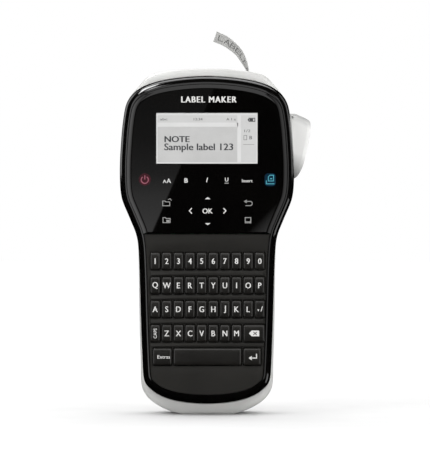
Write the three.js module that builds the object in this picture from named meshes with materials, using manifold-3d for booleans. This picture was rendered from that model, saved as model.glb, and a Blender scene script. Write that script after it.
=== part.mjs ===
// Handheld label maker, standing upright on its foot.
// Millimetres. +Z runs up the body, the keys face -Y, +X is the cutter-lever side.
// The origin is the centre of the flat foot.
import * as THREE from "three";
import { mergeVertices } from "three/addons/utils/BufferGeometryUtils.js";
import Module from "manifold-3d";

const wasm = await Module();
wasm.setup();

// ---------------------------------------------------------------- dimensions
const Y_FRONT = -27.5; // front plane of the black shell
const Y_FACE = -28.6; // front of the glossy head panel
const Y_KEYTOP = -28.9; // crown of the keys
const Y_PART = -13.5; // parting line of the two shells
const GAP = 0.3; // clearance between touching pieces
const WALL = 2.4; // shell wall
const Y_GRIP_BACK = 16; // back of the grip
const Y_BACK = 27; // back of the head
const KEY_PITCH = 6.89; // column pitch
const KEY_W = 5.9;
const KEY_H = 10.4;
const KEY_X0 = 0.55; // centre line of the key field
const KEY_ROWS = [91.8, 77.4, 63.3, 49, 35.1];
const KEY_TRAVEL = 0.8;
const LCD = { x0: -30.1, x1: 30.1, z0: 149.5, z1: 179.7 };
const FACE_BOTTOM = 108.1; // lower edge of the glossy panel
const FACE_INSET = 5.7; // panel edge, in from the shell outline
const TAPE_X = 25.1; // plane of the tape at the exit
const TAPE_Y = [7, 19]; // 12 mm tape
const PLATEN = [29.4, 172];
const MODULE = 0.8; // gear module
const TEETH = { pinion: 12, idler: 24, platen: 16 };
const IDLER_DIR = 220; // degrees, from the platen to the idler
const PINION_DIR = 200; // degrees, from the idler to the pinion
const GEAR_Y = [-1.5, 2.5];
const LEVER_PIVOT = [49.95, 143.3];

// Outline of the black front shell, right half, bottom centre to top centre: [x, z].
const BLACK = [
  [0, 6.3], [8, 6.6], [15, 7.4], [22, 8.9], [29.2, 11.8], [33.2, 14.8],
  [36.8, 18.6], [38, 23.4], [38.3, 28.2], [39.1, 47.2], [39.5, 60.9], [39.9, 75.8],
  [40.4, 90.9], [40.9, 99.9], [41.6, 105.1], [42.8, 109.5], [44.6, 113.8], [46.6, 118.6],
  [48.7, 123.4], [50.6, 128.3], [51.6, 133.9], [52, 141.9], [51.9, 151.9], [51.3, 161.9],
  [50.6, 171], [49.1, 181.7], [48, 185.7], [46.2, 189.1], [43.2, 192.6], [38.4, 195.9],
  [33.8, 197.9], [29.2, 199.3], [22, 200.7], [14.9, 201.6], [7.5, 202.2], [0, 202.4],
];
// Outline of the silver rear shell behind its flare, point for point with BLACK.
const SILVER = [
  [0, 0], [8.1, 0], [15.1, 0], [22.2, 1.8], [29.7, 5.3], [35.3, 9.7],
  [38.6, 14.7], [39.6, 20.7], [39.6, 27.5], [40.2, 46.7], [40.5, 60.5], [40.7, 75.5],
  [40.9, 90.8], [41.2, 99.8], [41.7, 105.1], [42.9, 109.5], [44.7, 113.9], [46.7, 118.7],
  [48.8, 123.5], [50.7, 128.5], [51.7, 134.1], [52.1, 142.2], [52, 152.3], [51.4, 162.4],
  [50.7, 171.5], [49.2, 182.3], [48.1, 186.4], [46.3, 189.8], [43.4, 193.5], [39.3, 198.3],
  [35.7, 202.3], [30, 204.6], [22.2, 205.9], [15, 206.6], [7.6, 207], [0, 207.2],
];

// ---------------------------------------------------------------- helpers
const full = (half) => {
  const right = half.map(([x, z]) => [x, z]);
  const left = half
    .slice(1, -1)
    .reverse()
    .map(([x, z]) => [-x, z]);
  return [...right, ...left]; // counter-clockwise seen from the front
};

// Moves each point inwards along the bisector of its two edges.
function inset(loop, d) {
  const n = loop.length;
  return loop.map((p, i) => {
    const a = loop[(i + n - 1) % n],
      b = loop[(i + 1) % n];
    let e1 = [p[0] - a[0], p[1] - a[1]],
      e2 = [b[0] - p[0], b[1] - p[1]];
    const l1 = Math.hypot(...e1),
      l2 = Math.hypot(...e2);
    const n1 = [-e1[1] / l1, e1[0] / l1],
      n2 = [-e2[1] / l2, e2[0] / l2];
    const c = 1 + n1[0] * n2[0] + n1[1] * n2[1];
    return [p[0] + (d * (n1[0] + n2[0])) / c, p[1] + (d * (n1[1] + n2[1])) / c];
  });
}

const blend = (a, b, t) =>
  a.map((p, i) => [p[0] + (b[i][0] - p[0]) * t, p[1] + (b[i][1] - p[1]) * t]);

// Closed solid through a stack of loops, each {y, loop}, y rising.
function loft(layers) {
  const n = layers[0].loop.length,
    pos = [],
    idx = [];
  for (const { y, loop } of layers) for (const [x, z] of loop) pos.push(x, y, z);
  for (let k = 0; k + 1 < layers.length; k++)
    for (let i = 0; i < n; i++) {
      const j = (i + 1) % n,
        a = k * n + i,
        b = k * n + j,
        c = a + n,
        d = b + n;
      idx.push(a, c, b, b, c, d);
    }
  const cap = (k, flip) => {
    const pts = layers[k].loop.map(([x, z]) => new THREE.Vector2(x, z));
    for (const [a, b, c] of THREE.ShapeUtils.triangulateShape(pts, []))
      flip
        ? idx.push(k * n + a, k * n + c, k * n + b)
        : idx.push(k * n + a, k * n + b, k * n + c);
  };
  cap(0, false);
  cap(layers.length - 1, true);
  const g = new THREE.BufferGeometry();
  g.setAttribute("position", new THREE.Float32BufferAttribute(pos, 3));
  g.setIndex(idx);
  return solid(g);
}

function solid(geometry) {
  const g = geometry.clone();
  g.deleteAttribute("normal");
  g.deleteAttribute("uv");
  const m = mergeVertices(g, 1e-4);
  return new wasm.Manifold(
    new wasm.Mesh({
      numProp: 3,
      vertProperties: new Float32Array(m.attributes.position.array),
      triVerts: new Uint32Array(m.index.array),
    }),
  );
}

const box = (x0, x1, y0, y1, z0, z1) =>
  solid(
    new THREE.BoxGeometry(x1 - x0, y1 - y0, z1 - z0).translate(
      (x0 + x1) / 2,
      (y0 + y1) / 2,
      (z0 + z1) / 2,
    ),
  );

// Extrudes a loop of [x, z] points from y0 to y1.
const slab = (loop, y0, y1) =>
  loft([
    { y: y0, loop },
    { y: y1, loop },
  ]);

const circle = (cx, cz, r, n, a0 = 0) =>
  Array.from({ length: n }, (_, i) => {
    const a = a0 + (2 * Math.PI * i) / n;
    return [cx + r * Math.cos(a), cz + r * Math.sin(a)];
  });

const disc = (cx, cz, r, y0, y1, n = 20) => slab(circle(cx, cz, r, n), y0, y1);

const roundRect = (x0, x1, z0, z1, r) => [
  [x0 + r, z0], [x1 - r, z0], [x1, z0 + r], [x1, z1 - r],
  [x1 - r, z1], [x0 + r, z1], [x0, z1 - r], [x0, z0 + r],
];

const mat = (color, roughness, metalness = 0) =>
  new THREE.MeshStandardMaterial({ color, roughness, metalness });

const M = {
  gloss_black: mat(0x0c0b0b, 0.12),
  black_shell: mat(0x100f0e, 0.22),
  key: mat(0x24211e, 0.5),
  silver: mat(0xb9b9b4, 0.42, 0.35),
  white: mat(0xe2e1dc, 0.38, 0.1),
  screen: mat(0xd9d7d4, 0.2),
  board: mat(0x1d5c3a, 0.55),
  frame: mat(0x34363a, 0.7),
  steel: mat(0xb5b7b9, 0.3, 0.9),
  gear: mat(0xe9e5d8, 0.5),
  rubber: mat(0x1a1a1a, 0.85),
  cassette: mat(0x2a2b2e, 0.45),
  battery: mat(0x30363d, 0.5),
  paper: mat(0xdcdcd8, 0.4),
};

const root = new THREE.Group();
const add = (name, manifold, material) => {
  const m = manifold.getMesh();
  const g = new THREE.BufferGeometry();
  g.setAttribute("position", new THREE.BufferAttribute(new Float32Array(m.vertProperties), 3));
  g.setIndex(new THREE.BufferAttribute(new Uint32Array(m.triVerts), 1));
  g.computeVertexNormals();
  const mesh = new THREE.Mesh(g, material);
  mesh.name = name;
  root.add(mesh);
};

const B = full(BLACK),
  R = full(SILVER);

// ---------------------------------------------------------------- front housing
// Column of a key, counted from the left.
const col = (i) => (i - 4.5) * KEY_PITCH + KEY_X0;
const keys = [];
const keyAt = (name, row, c0, c1) => {
  const x0 = col(c0) - KEY_W / 2,
    x1 = col(c1) + KEY_W / 2,
    z = KEY_ROWS[row];
  keys.push({ name, x0, x1, z0: z - KEY_H / 2, z1: z + KEY_H / 2 });
};
["1", "2", "3", "4", "5", "6", "7", "8", "9", "0"].forEach((k, i) => keyAt("key_" + k, 0, i, i));
[..."qwertyuiop"].forEach((k, i) => keyAt("key_" + k, 1, i, i));
[..."asdfghjkl"].forEach((k, i) => keyAt("key_" + k, 2, i, i));
keyAt("key_comma", 2, 9, 9);
keyAt("key_caps", 3, 0, 0);
[..."zxcvbnm"].forEach((k, i) => keyAt("key_" + k, 3, i + 1, i + 1));
keyAt("key_backspace", 3, 8, 9);
keyAt("key_extras", 4, 0, 1);
keyAt("key_space", 4, 2, 7);
keyAt("key_return", 4, 8, 9);
// The two corner keys stop short of the plate's round corners.
keys.find((k) => k.name === "key_extras").x0 = -31.9;
keys.find((k) => k.name === "key_return").x1 = 32.3;

let front = loft([
  { y: Y_FRONT, loop: inset(B, 5.4) },
  { y: Y_FRONT + 0.3, loop: inset(B, 4.3) },
  { y: Y_FRONT + 1.4, loop: inset(B, 2.5) },
  { y: Y_FRONT + 3.6, loop: inset(B, 1.0) },
  { y: Y_FRONT + 6.5, loop: inset(B, 0.2) },
  { y: Y_FRONT + 9, loop: B },
  { y: Y_PART, loop: B },
]).subtract(
  loft([
    { y: Y_FRONT + 2.2, loop: inset(B, 3.7) },
    { y: Y_FRONT + 5.5, loop: inset(B, 3.0) },
    { y: Y_FRONT + 9.5, loop: inset(B, WALL) },
    { y: Y_PART + 2, loop: inset(B, WALL) },
  ]),
);
for (const k of keys)
  front = front.subtract(
    box(k.x0 - GAP, k.x1 + GAP, Y_FRONT - 1, Y_FRONT + 4, k.z0 - GAP, k.z1 + GAP),
  );
front = front.subtract(
  box(LCD.x0 - GAP, LCD.x1 + GAP, Y_FRONT - 1, Y_FRONT + 4, LCD.z0 - GAP, LCD.z1 + GAP),
);
// Socket openings in the left wall of the head.
const USB = { z0: 150.9, z1: 159.3, y0: -16.9, y1: -13.9 };
const JACK = { z0: 134.9, z1: 143.9, y0: -16.9, y1: -10.2 };
const socketHole = (s) => box(-56, -44, s.y0 - 0.9, s.y1 + GAP, s.z0 - GAP, s.z1 + GAP);
front = front.subtract(socketHole(USB)).subtract(socketHole(JACK));
add("front_housing", front, M.black_shell);

// ---------------------------------------------------------------- face panel
const face = loft([
  { y: Y_FACE, loop: inset(B, FACE_INSET + 0.6) },
  { y: Y_FACE + 0.45, loop: inset(B, FACE_INSET) },
  { y: Y_FRONT - GAP, loop: inset(B, FACE_INSET) },
])
  .intersect(box(-60, 60, Y_FACE - 1, 0, FACE_BOTTOM, 230))
  .subtract(box(LCD.x0 - GAP, LCD.x1 + GAP, Y_FACE - 1, 0, LCD.z0 - GAP, LCD.z1 + GAP));
add("face_panel", face, M.gloss_black);

// ---------------------------------------------------------------- screen
add(
  "lcd_module",
  box(LCD.x0, LCD.x1, Y_FACE + 0.35, -24, LCD.z0, LCD.z1).add(
    box(-34, 34, -25, -19.6, 144.4, 183.9),
  ),
  M.screen,
);

// ---------------------------------------------------------------- keys
for (const k of keys) {
  const rect = (d, fz = 0) => [
    [k.x0 + d, k.z0 + d - fz], [k.x1 - d, k.z0 + d - fz],
    [k.x1 - d, k.z1 - d + fz], [k.x0 + d, k.z1 - d + fz],
  ];
  add(
    k.name,
    loft([
      { y: Y_KEYTOP, loop: rect(1.0) },
      { y: Y_KEYTOP + 0.4, loop: rect(0.4) },
      { y: Y_KEYTOP + 1.2, loop: rect(0) },
      { y: Y_FRONT + 2.5, loop: rect(0) },
      { y: Y_FRONT + 2.55, loop: rect(0, 1.1) },
      { y: Y_FRONT + 3.9, loop: rect(0, 1.1) },
    ]),
    M.key,
  );
}

// ---------------------------------------------------------------- rear housing
const Y_R0 = Y_PART + GAP;
const headLoop = (d, zb) => {
  // The upper part of the silver outline, closed straight across at height zb.
  const top = SILVER.filter((p) => p[1] > 115);
  const half = [[0, zb], [18, zb], [34, zb + 0.6], [40, zb + 3.5], ...top];
  return inset(full(half), d);
};
let rear = loft([
  { y: Y_R0, loop: inset(B, 0.25) },
  { y: Y_R0 + 0.7, loop: blend(B, R, 0.5) },
  { y: Y_R0 + 1.8, loop: blend(B, R, 0.86) },
  { y: -10, loop: R },
  { y: 10, loop: R },
  { y: 12.6, loop: inset(R, 1.4) },
  { y: 14.8, loop: inset(R, 4.2) },
  { y: Y_GRIP_BACK, loop: inset(R, 8.5) },
]).add(
  loft([
    { y: 8.6, loop: headLoop(0.3, 99) },
    { y: 19, loop: headLoop(1.2, 102.5) },
    { y: 23.4, loop: headLoop(3.2, 104.5) },
    { y: 25.8, loop: headLoop(6.4, 105.5) },
    { y: Y_BACK, loop: headLoop(10, 106) },
  ]),
);
rear = rear
  .subtract(
    loft([
      { y: Y_R0 - 1, loop: inset(blend(B, R, 0.3), WALL + 0.4) },
      { y: -10, loop: inset(R, WALL) },
      { y: 10, loop: inset(R, WALL) },
      { y: 13.2, loop: inset(R, 5.5) },
    ]),
  )
  .subtract(
    loft([
      { y: 6, loop: headLoop(WALL + 0.4, 99) },
      { y: 18.5, loop: headLoop(WALL + 1.4, 102.5) },
      { y: 23.6, loop: headLoop(8, 104.5) },
    ]),
  );
// Battery bay mouth, and the shallow tray that its door slides in.
const BDOOR = { x: 27, z0: 24, z1: 92 };
const BAT = { x: 23.6, z0: 29, z1: 87.4 };
rear = rear
  .subtract(box(-24.2, 24.2, 10, 20, 28.4, 88))
  .subtract(box(-BDOOR.x - GAP, BDOOR.x + GAP, 14.3, 20, BDOOR.z0 - 9, BDOOR.z1 + GAP));
// Cassette mouth and the rebate for its door.
const CDOOR = { x: 33, z0: 119, z1: 186 };
rear = rear
  .subtract(box(-30.4, 31.4, 20, 30, 121.4, 183.6))
  .subtract(box(-CDOOR.x - GAP, CDOOR.x + GAP, 25, 30, CDOOR.z0 - GAP, CDOOR.z1 + GAP));
// Tape exit slot in the top, cutter-lever window in the right wall, power jack on the left.
rear = rear
  .subtract(box(TAPE_X - 1.1, TAPE_X + 1.1, TAPE_Y[0] - 1, TAPE_Y[1] + 1, 190, 212))
  .subtract(box(40, 60, -9.5, 9.5, 139.9, 182.3))
  .subtract(socketHole(JACK));
add("rear_housing", rear, M.silver);

// ---------------------------------------------------------------- mid frame
// Battery shelf in the grip, cassette bay in the head, one moulding.
const bayOuter = [[-34.6, 118.6], [20.6, 118.6], [20.6, 141], [20.6, 187.2], [-34.6, 187.2]];
const bayInner = [[-33, 120.2], [19, 120.2], [19, 146], [24, 146], [24, 159], [19, 159], [19, 185.6], [-33, 185.6]];
let frame = slab(
  [
    [-33, 20], [33, 20], [34, 98], [34, 103], [-34, 103], [-34, 98],
  ],
  -2.8,
  -1,
)
  .add(box(-33.5, 33.5, -2.8, 5, 100.6, 103))
  .add(
    slab(
      [
        [-34, 100.6], [34, 100.6], [40, 112], [43, 124], [43.5, 136], [39, 138],
        [39, 181], [43, 183], [38, 190], [-38, 190], [-44, 182], [-45, 140], [-43, 122], [-38, 108],
      ],
      3.2,
      5,
    ),
  )
  .add(slab(bayOuter, 3.4, 22.6).subtract(slab(bayInner, 4.6, 24)));
// Clearance for the platen shaft and the printing nip.
frame = frame
  .subtract(disc(PLATEN[0], PLATEN[1], 1.6, 0, 8, 16))
  .subtract(box(24, 50, 0, 30, 183.5, 192))
  .add(box(-28, -25.5, -2.8, 11, 22, 94))
  .add(box(25.5, 28, -2.8, 11, 22, 94));
const idler = [
  PLATEN[0] + ((MODULE * (TEETH.idler + TEETH.platen)) / 2) * Math.cos((IDLER_DIR * Math.PI) / 180),
  PLATEN[1] + ((MODULE * (TEETH.idler + TEETH.platen)) / 2) * Math.sin((IDLER_DIR * Math.PI) / 180),
];
const pinion = [
  idler[0] + ((MODULE * (TEETH.idler + TEETH.pinion)) / 2) * Math.cos((PINION_DIR * Math.PI) / 180),
  idler[1] + ((MODULE * (TEETH.idler + TEETH.pinion)) / 2) * Math.sin((PINION_DIR * Math.PI) / 180),
];
frame = frame.add(disc(idler[0], idler[1], 1.5, GEAR_Y[0] - 1, 3.6, 12));
add("mid_frame", frame, M.frame);

// ---------------------------------------------------------------- circuit board
const board = slab(
  [
    [-30, 16.6], [30, 16.6], [34, 21.6], [34.5, 100], [40, 112], [43, 124], [43, 180],
    [38, 187], [-38, 187], [-43, 180], [-43, 124], [-40, 112], [-34.5, 100], [-34, 21.6],
  ],
  -18.5,
  -16.9,
)
  .add(box(-51, -42, USB.y0 - 0.6, USB.y1, USB.z0, USB.z1))
  .add(box(-51, -40, JACK.y0 - 0.6, JACK.y1, JACK.z0, JACK.z1));
add("circuit_board", board, M.board);

// ---------------------------------------------------------------- battery
add(
  "battery_pack",
  slab(roundRect(-BAT.x, BAT.x, BAT.z0, BAT.z1, 4), -0.6, 13.8),
  M.battery,
);
const bdoor = loft([
  { y: 14.6, loop: roundRect(-BDOOR.x, BDOOR.x, BDOOR.z0, BDOOR.z1, 1.2) },
  { y: 15.5, loop: roundRect(-BDOOR.x, BDOOR.x, BDOOR.z0, BDOOR.z1, 1.2) },
  { y: Y_GRIP_BACK, loop: roundRect(-BDOOR.x + 0.5, BDOOR.x - 0.5, BDOOR.z0 + 0.5, BDOOR.z1 - 0.5, 1.2) },
]);
add("battery_door", bdoor, M.silver);

// ---------------------------------------------------------------- cassette and its door
const cassette = slab(
  [
    [-32.4, 126], [-26, 120.8], [12, 120.8], [18.4, 126], [18.4, 146.6], [22.6, 147.4],
    [22.6, 150.4], [18.4, 153.4], [18.4, 180], [12, 185], [-26, 185], [-32.4, 180],
  ],
  5.4,
  22.8,
)
  .subtract(disc(-16, 153, 6, 20.8, 24, 18))
  .subtract(disc(6, 160, 4.2, 20.8, 24, 14));
add("tape_cassette", cassette, M.cassette);

const cdoor = loft([
  { y: 25.3, loop: roundRect(-CDOOR.x, CDOOR.x, CDOOR.z0, CDOOR.z1, 1.5) },
  { y: 26.4, loop: roundRect(-CDOOR.x, CDOOR.x, CDOOR.z0, CDOOR.z1, 1.5) },
  { y: Y_BACK, loop: roundRect(-CDOOR.x + 0.6, CDOOR.x - 0.6, CDOOR.z0 + 0.6, CDOOR.z1 - 0.6, 1.5) },
]);
add("cassette_door", cdoor, M.silver);

// ---------------------------------------------------------------- print train
function gearLoop(cx, cz, teeth, phase) {
  const rp = (MODULE * teeth) / 2,
    ro = rp + MODULE * 0.92,
    ri = rp - MODULE * 1.2,
    p = (2 * Math.PI) / teeth,
    out = [];
  for (let k = 0; k < teeth; k++) {
    const a = phase + k * p;
    for (const [r, f] of [[ri, -0.33], [ro, -0.11], [ro, 0.11], [ri, 0.33]])
      out.push([cx + r * Math.cos(a + f * p), cz + r * Math.sin(a + f * p)]);
  }
  return out;
}
const rad = Math.PI / 180;
const dirPI = (PINION_DIR + 180) * rad; // from the pinion to the idler
const phasePinion = dirPI;
const phaseIdler = dirPI + Math.PI + Math.PI / TEETH.idler;
const dirIP = (IDLER_DIR + 180) * rad; // from the idler to the platen
const phasePlaten =
  dirIP + Math.PI + (Math.PI - TEETH.idler * (phaseIdler - dirIP)) / TEETH.platen;
add(
  "idler_gear",
  slab(gearLoop(idler[0], idler[1], TEETH.idler, phaseIdler), ...GEAR_Y).subtract(
    disc(idler[0], idler[1], 1.8, GEAR_Y[0] - 1, GEAR_Y[1] + 1, 16),
  ),
  M.gear,
);
add(
  "motor_pinion",
  slab(gearLoop(pinion[0], pinion[1], TEETH.pinion, phasePinion), ...GEAR_Y),
  M.steel,
);
add(
  "platen_roller",
  slab(gearLoop(PLATEN[0], PLATEN[1], TEETH.platen, phasePlaten), ...GEAR_Y)
    .add(disc(PLATEN[0], PLATEN[1], 1.3, GEAR_Y[0] - 1.5, 21.5, 14))
    .add(disc(PLATEN[0], PLATEN[1], 4.0, 5.6, 20.6, 24)),
  M.rubber,
);
add(
  "drive_motor",
  slab(circle(pinion[0], pinion[1], 10, 24), -15.8, -2.6).add(
    disc(pinion[0], pinion[1], 3, -3, -1.8, 14),
  ),
  M.steel,
);
add(
  "print_head",
  box(22.6, 24.6, 5.4, 20.6, 167, 181).add(box(21, 23, 5.4, 20.6, 169.4, 179)),
  M.steel,
);

// ---------------------------------------------------------------- cutter
const leverOuter = [
  [48.15, 141.6], [50.95, 140.7], [53.95, 142.3], [57.35, 148.1], [59.75, 157.1], [61.35, 164.7],
  [62.15, 170.7], [62.25, 174.1], [61.45, 175.9], [53.15, 180.1], [49.35, 180.3],
];
const leverInner = [
  [40.75, 146.3], [51.55, 145.3], [54.95, 151.1], [57.35, 159.1], [58.95, 166.3], [59.75, 171.3],
  [59.55, 173.7], [52.15, 177.5], [40.75, 177.7],
];
let lever = slab(leverOuter, -9, 9)
  .subtract(slab(leverInner, -7.4, 7.4))
  .add(box(47.95, 59.95, -1.2, 2.8, 170.1, 173.1))
  .add(box(44.3, 48.95, -1.2, 2.8, 170.1, 177.7));
add("cutter_lever", lever, M.white);

const blade = slab(
  [
    [31.6, 186.4], [34, 184.4], [42, 184.4], [42, 172.5], [43.5, 172.5], [43.5, 186], [40.5, 189], [31.6, 189],
  ],
  -1,
  2.6,
)
  .add(box(33, 38.4, 1, 20.4, 186.6, 188.6))
  .add(
    slab([[30.3, 187], [34, 186.2], [34, 187.8]], 6, 20.4),
  );
add("cutter_blade", blade, M.steel);

// ---------------------------------------------------------------- label strip
// Centre line [x, z] and how far the strip's width leans over out of the depth direction.
const strip = [
  [18.9, 154.6, 0], [21.4, 158.4, 0], [23.6, 162.2, 0], [24.9, 166, 0], [TAPE_X, 172, 0],
  [TAPE_X, 180, 0], [TAPE_X, 190, 0], [25.2, 198, 0], [25.4, 205.1, 2], [24.4, 209.2, 8],
  [22.5, 213.5, 15], [19.6, 218.4, 20], [15.5, 222.4, 24], [10.5, 225.9, 27], [4.9, 228.3, 29],
];
{
  const T = 0.3,
    w = (TAPE_Y[1] - TAPE_Y[0]) / 2,
    yc = (TAPE_Y[1] + TAPE_Y[0]) / 2,
    pos = [],
    idx = [],
    n = strip.length;
  strip.forEach(([x, z, lean], i) => {
    const a = strip[Math.max(0, i - 1)],
      b = strip[Math.min(n - 1, i + 1)];
    const t = new THREE.Vector3(b[0] - a[0], 0, b[1] - a[1]).normalize();
    // Width starts along the depth and leans so that the near edge drops.
    const d = new THREE.Vector3(0, 1, 0).applyAxisAngle(t, lean * rad);
    const nn = new THREE.Vector3().crossVectors(t, d);
    for (const [u, v] of [[-1, -1], [1, -1], [1, 1], [-1, 1]])
      pos.push(
        x + d.x * w * u + (nn.x * T * v) / 2,
        yc + d.y * w * u + (nn.y * T * v) / 2,
        z + d.z * w * u + (nn.z * T * v) / 2,
      );
  });
  for (let k = 0; k + 1 < n; k++)
    for (let i = 0; i < 4; i++) {
      const j = (i + 1) % 4,
        a = k * 4 + i,
        b = k * 4 + j;
      idx.push(a, b, a + 4, b, b + 4, a + 4);
    }
  idx.push(0, 2, 1, 0, 3, 2);
  const e = (n - 1) * 4;
  idx.push(e, e + 1, e + 2, e, e + 2, e + 3);
  const g = new THREE.BufferGeometry();
  g.setAttribute("position", new THREE.Float32BufferAttribute(pos, 3));
  g.setIndex(idx);
  let s = solid(g);
  if (s.volume() < 0) {
    const flipped = [];
    for (let i = 0; i < idx.length; i += 3) flipped.push(idx[i], idx[i + 2], idx[i + 1]);
    g.setIndex(flipped);
    s = solid(g);
  }
  add("label_tape", s, M.paper);
}

export default root;
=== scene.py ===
import math

import bmesh
import bpy
import numpy as np
from mathutils import Matrix, Vector


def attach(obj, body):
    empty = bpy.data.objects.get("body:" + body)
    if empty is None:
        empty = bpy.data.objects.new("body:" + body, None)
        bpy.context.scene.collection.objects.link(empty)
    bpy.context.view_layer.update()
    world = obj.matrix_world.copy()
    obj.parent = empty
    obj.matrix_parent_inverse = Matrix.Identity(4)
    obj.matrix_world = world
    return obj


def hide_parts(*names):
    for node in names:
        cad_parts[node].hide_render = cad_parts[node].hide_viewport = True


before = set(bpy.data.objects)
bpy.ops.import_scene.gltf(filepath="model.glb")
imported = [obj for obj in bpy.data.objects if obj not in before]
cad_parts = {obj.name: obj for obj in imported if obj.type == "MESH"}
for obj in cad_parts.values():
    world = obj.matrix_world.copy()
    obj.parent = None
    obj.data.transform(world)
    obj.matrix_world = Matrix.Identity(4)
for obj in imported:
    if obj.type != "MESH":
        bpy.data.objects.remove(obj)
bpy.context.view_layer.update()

scene = bpy.context.scene
MM = 0.001

# ------------------------------------------------------------------ outlines (millimetres)
BLACK = [
    (0, 6.3), (8, 6.6), (15, 7.4), (22, 8.9), (29.2, 11.8), (33.2, 14.8),
    (36.8, 18.6), (38, 23.4), (38.3, 28.2), (39.1, 47.2), (39.5, 60.9), (39.9, 75.8),
    (40.4, 90.9), (40.9, 99.9), (41.6, 105.1), (42.8, 109.5), (44.6, 113.8), (46.6, 118.6),
    (48.7, 123.4), (50.6, 128.3), (51.6, 133.9), (52, 141.9), (51.9, 151.9), (51.3, 161.9),
    (50.6, 171), (49.1, 181.7), (48, 185.7), (46.2, 189.1), (43.2, 192.6), (38.4, 195.9),
    (33.8, 197.9), (29.2, 199.3), (22, 200.7), (14.9, 201.6), (7.5, 202.2), (0, 202.4),
]
SILVER = [
    (0, 0), (8.1, 0), (15.1, 0), (22.2, 1.8), (29.7, 5.3), (35.3, 9.7),
    (38.6, 14.7), (39.6, 20.7), (39.6, 27.5), (40.2, 46.7), (40.5, 60.5), (40.7, 75.5),
    (40.9, 90.8), (41.2, 99.8), (41.7, 105.1), (42.9, 109.5), (44.7, 113.9), (46.7, 118.7),
    (48.8, 123.5), (50.7, 128.5), (51.7, 134.1), (52.1, 142.2), (52, 152.3), (51.4, 162.4),
    (50.7, 171.5), (49.2, 182.3), (48.1, 186.4), (46.3, 189.8), (43.4, 193.5), (39.3, 198.3),
    (35.7, 202.3), (30, 204.6), (22.2, 205.9), (15, 206.6), (7.6, 207), (0, 207.2),
]
Y_FRONT, Y_FACE, Y_KEYTOP, Y_PART = -27.5, -28.6, -28.9, -13.5
KEY_PITCH, KEY_W, KEY_H, KEY_X0 = 6.89, 5.9, 10.4, 0.55
KEY_ROWS = [91.8, 77.4, 63.3, 49.0, 35.1]
FACE_BOTTOM = 108.1


def half_curve(pts, per=8):
    """Centripetal-ish smooth curve through the half outline, mirrored ends so that it leaves the axis square."""
    p = [np.array(q, float) for q in pts]
    p = [np.array([-p[1][0], p[1][1]])] + p + [np.array([-p[-2][0], p[-2][1]])]
    out = []
    for i in range(1, len(p) - 2):
        a, b, c, d = p[i - 1], p[i], p[i + 1], p[i + 2]
        t0, t1 = 0.0, max(1e-6, np.linalg.norm(b - a)) ** 0.5
        t2 = t1 + np.linalg.norm(c - b) ** 0.5
        t3 = t2 + max(1e-6, np.linalg.norm(d - c)) ** 0.5
        for k in range(per):
            t = t1 + (t2 - t1) * k / per
            a1 = a * (t1 - t) / (t1 - t0) + b * (t - t0) / (t1 - t0)
            a2 = b * (t2 - t) / (t2 - t1) + c * (t - t1) / (t2 - t1)
            a3 = c * (t3 - t) / (t3 - t2) + d * (t - t2) / (t3 - t2)
            b1 = a1 * (t2 - t) / (t2 - t0) + a2 * (t - t0) / (t2 - t0)
            b2 = a2 * (t3 - t) / (t3 - t1) + a3 * (t - t1) / (t3 - t1)
            out.append(b1 * (t2 - t) / (t2 - t1) + b2 * (t - t1) / (t2 - t1))
    out.append(p[-2])
    out = np.array(out)
    out[0, 0] = out[-1, 0] = 0.0
    return out


def full_loop(half):
    left = half[1:-1][::-1] * np.array([-1, 1])
    return np.vstack([half, left])


def relax(loop, rounds=6, keep_z0=False):
    """A few rounds of smoothing take the measuring noise out of an outline."""
    q = loop.copy()
    for _ in range(rounds):
        m = 0.5 * q + 0.25 * (np.roll(q, 1, 0) + np.roll(q, -1, 0))
        if keep_z0:
            flat = q[:, 1] < 0.02
            m[flat, 1] = q[flat, 1]
        q = m
    return q


def normals2(loop):
    t = np.roll(loop, -1, 0) - np.roll(loop, 1, 0)
    t /= np.linalg.norm(t, axis=1)[:, None] + 1e-12
    return np.stack([-t[:, 1], t[:, 0]], 1)  # inward for a counter-clockwise loop


def inset(loop, d, smooth=2):
    n = normals2(loop)
    for _ in range(smooth):
        n = n + np.roll(n, 1, 0) + np.roll(n, -1, 0)
        n /= np.linalg.norm(n, axis=1)[:, None]
    d = np.asarray(d, float)
    return loop + n * (d[:, None] if d.ndim else d)


B = relax(full_loop(half_curve(BLACK)), 10)
S = relax(full_loop(half_curve(SILVER)), 10, keep_z0=True)
S[:, 1] = np.maximum(S[:, 1], 0.0)
N = len(B)

# ------------------------------------------------------------------ mesh helpers


def make(name, verts, faces, mats, idx=None, smooth=True, angle=35, mm=True):
    me = bpy.data.meshes.new(name)
    v = np.asarray(verts, float) * (MM if mm else 1.0)
    me.from_pydata([tuple(p) for p in v], [], [tuple(f) for f in faces])
    for m in mats if isinstance(mats, (list, tuple)) else [mats]:
        me.materials.append(m)
    if idx is not None:
        me.polygons.foreach_set("material_index", list(idx))
    me.update()
    o = bpy.data.objects.new(name, me)
    scene.collection.objects.link(o)
    if smooth:
        me.shade_smooth()
        sharpen(o, angle)
    return o


def sharpen(o, angle=35):
    """Marks edges sharper than the angle, so that smooth shading stops at them."""
    me = o.data
    bm = bmesh.new()
    bm.from_mesh(me)
    lim = math.radians(angle)
    for e in bm.edges:
        e.smooth = not (len(e.link_faces) != 2 or e.calc_face_angle(0.0) > lim)
    for f in bm.faces:
        f.smooth = True
    bm.to_mesh(me)
    bm.free()


def clean(o, outward=True):
    bm = bmesh.new()
    bm.from_mesh(o.data)
    bmesh.ops.remove_doubles(bm, verts=bm.verts, dist=1e-7)
    bmesh.ops.recalc_face_normals(bm, faces=bm.faces)
    bm.to_mesh(o.data)
    bm.free()
    return o


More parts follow.
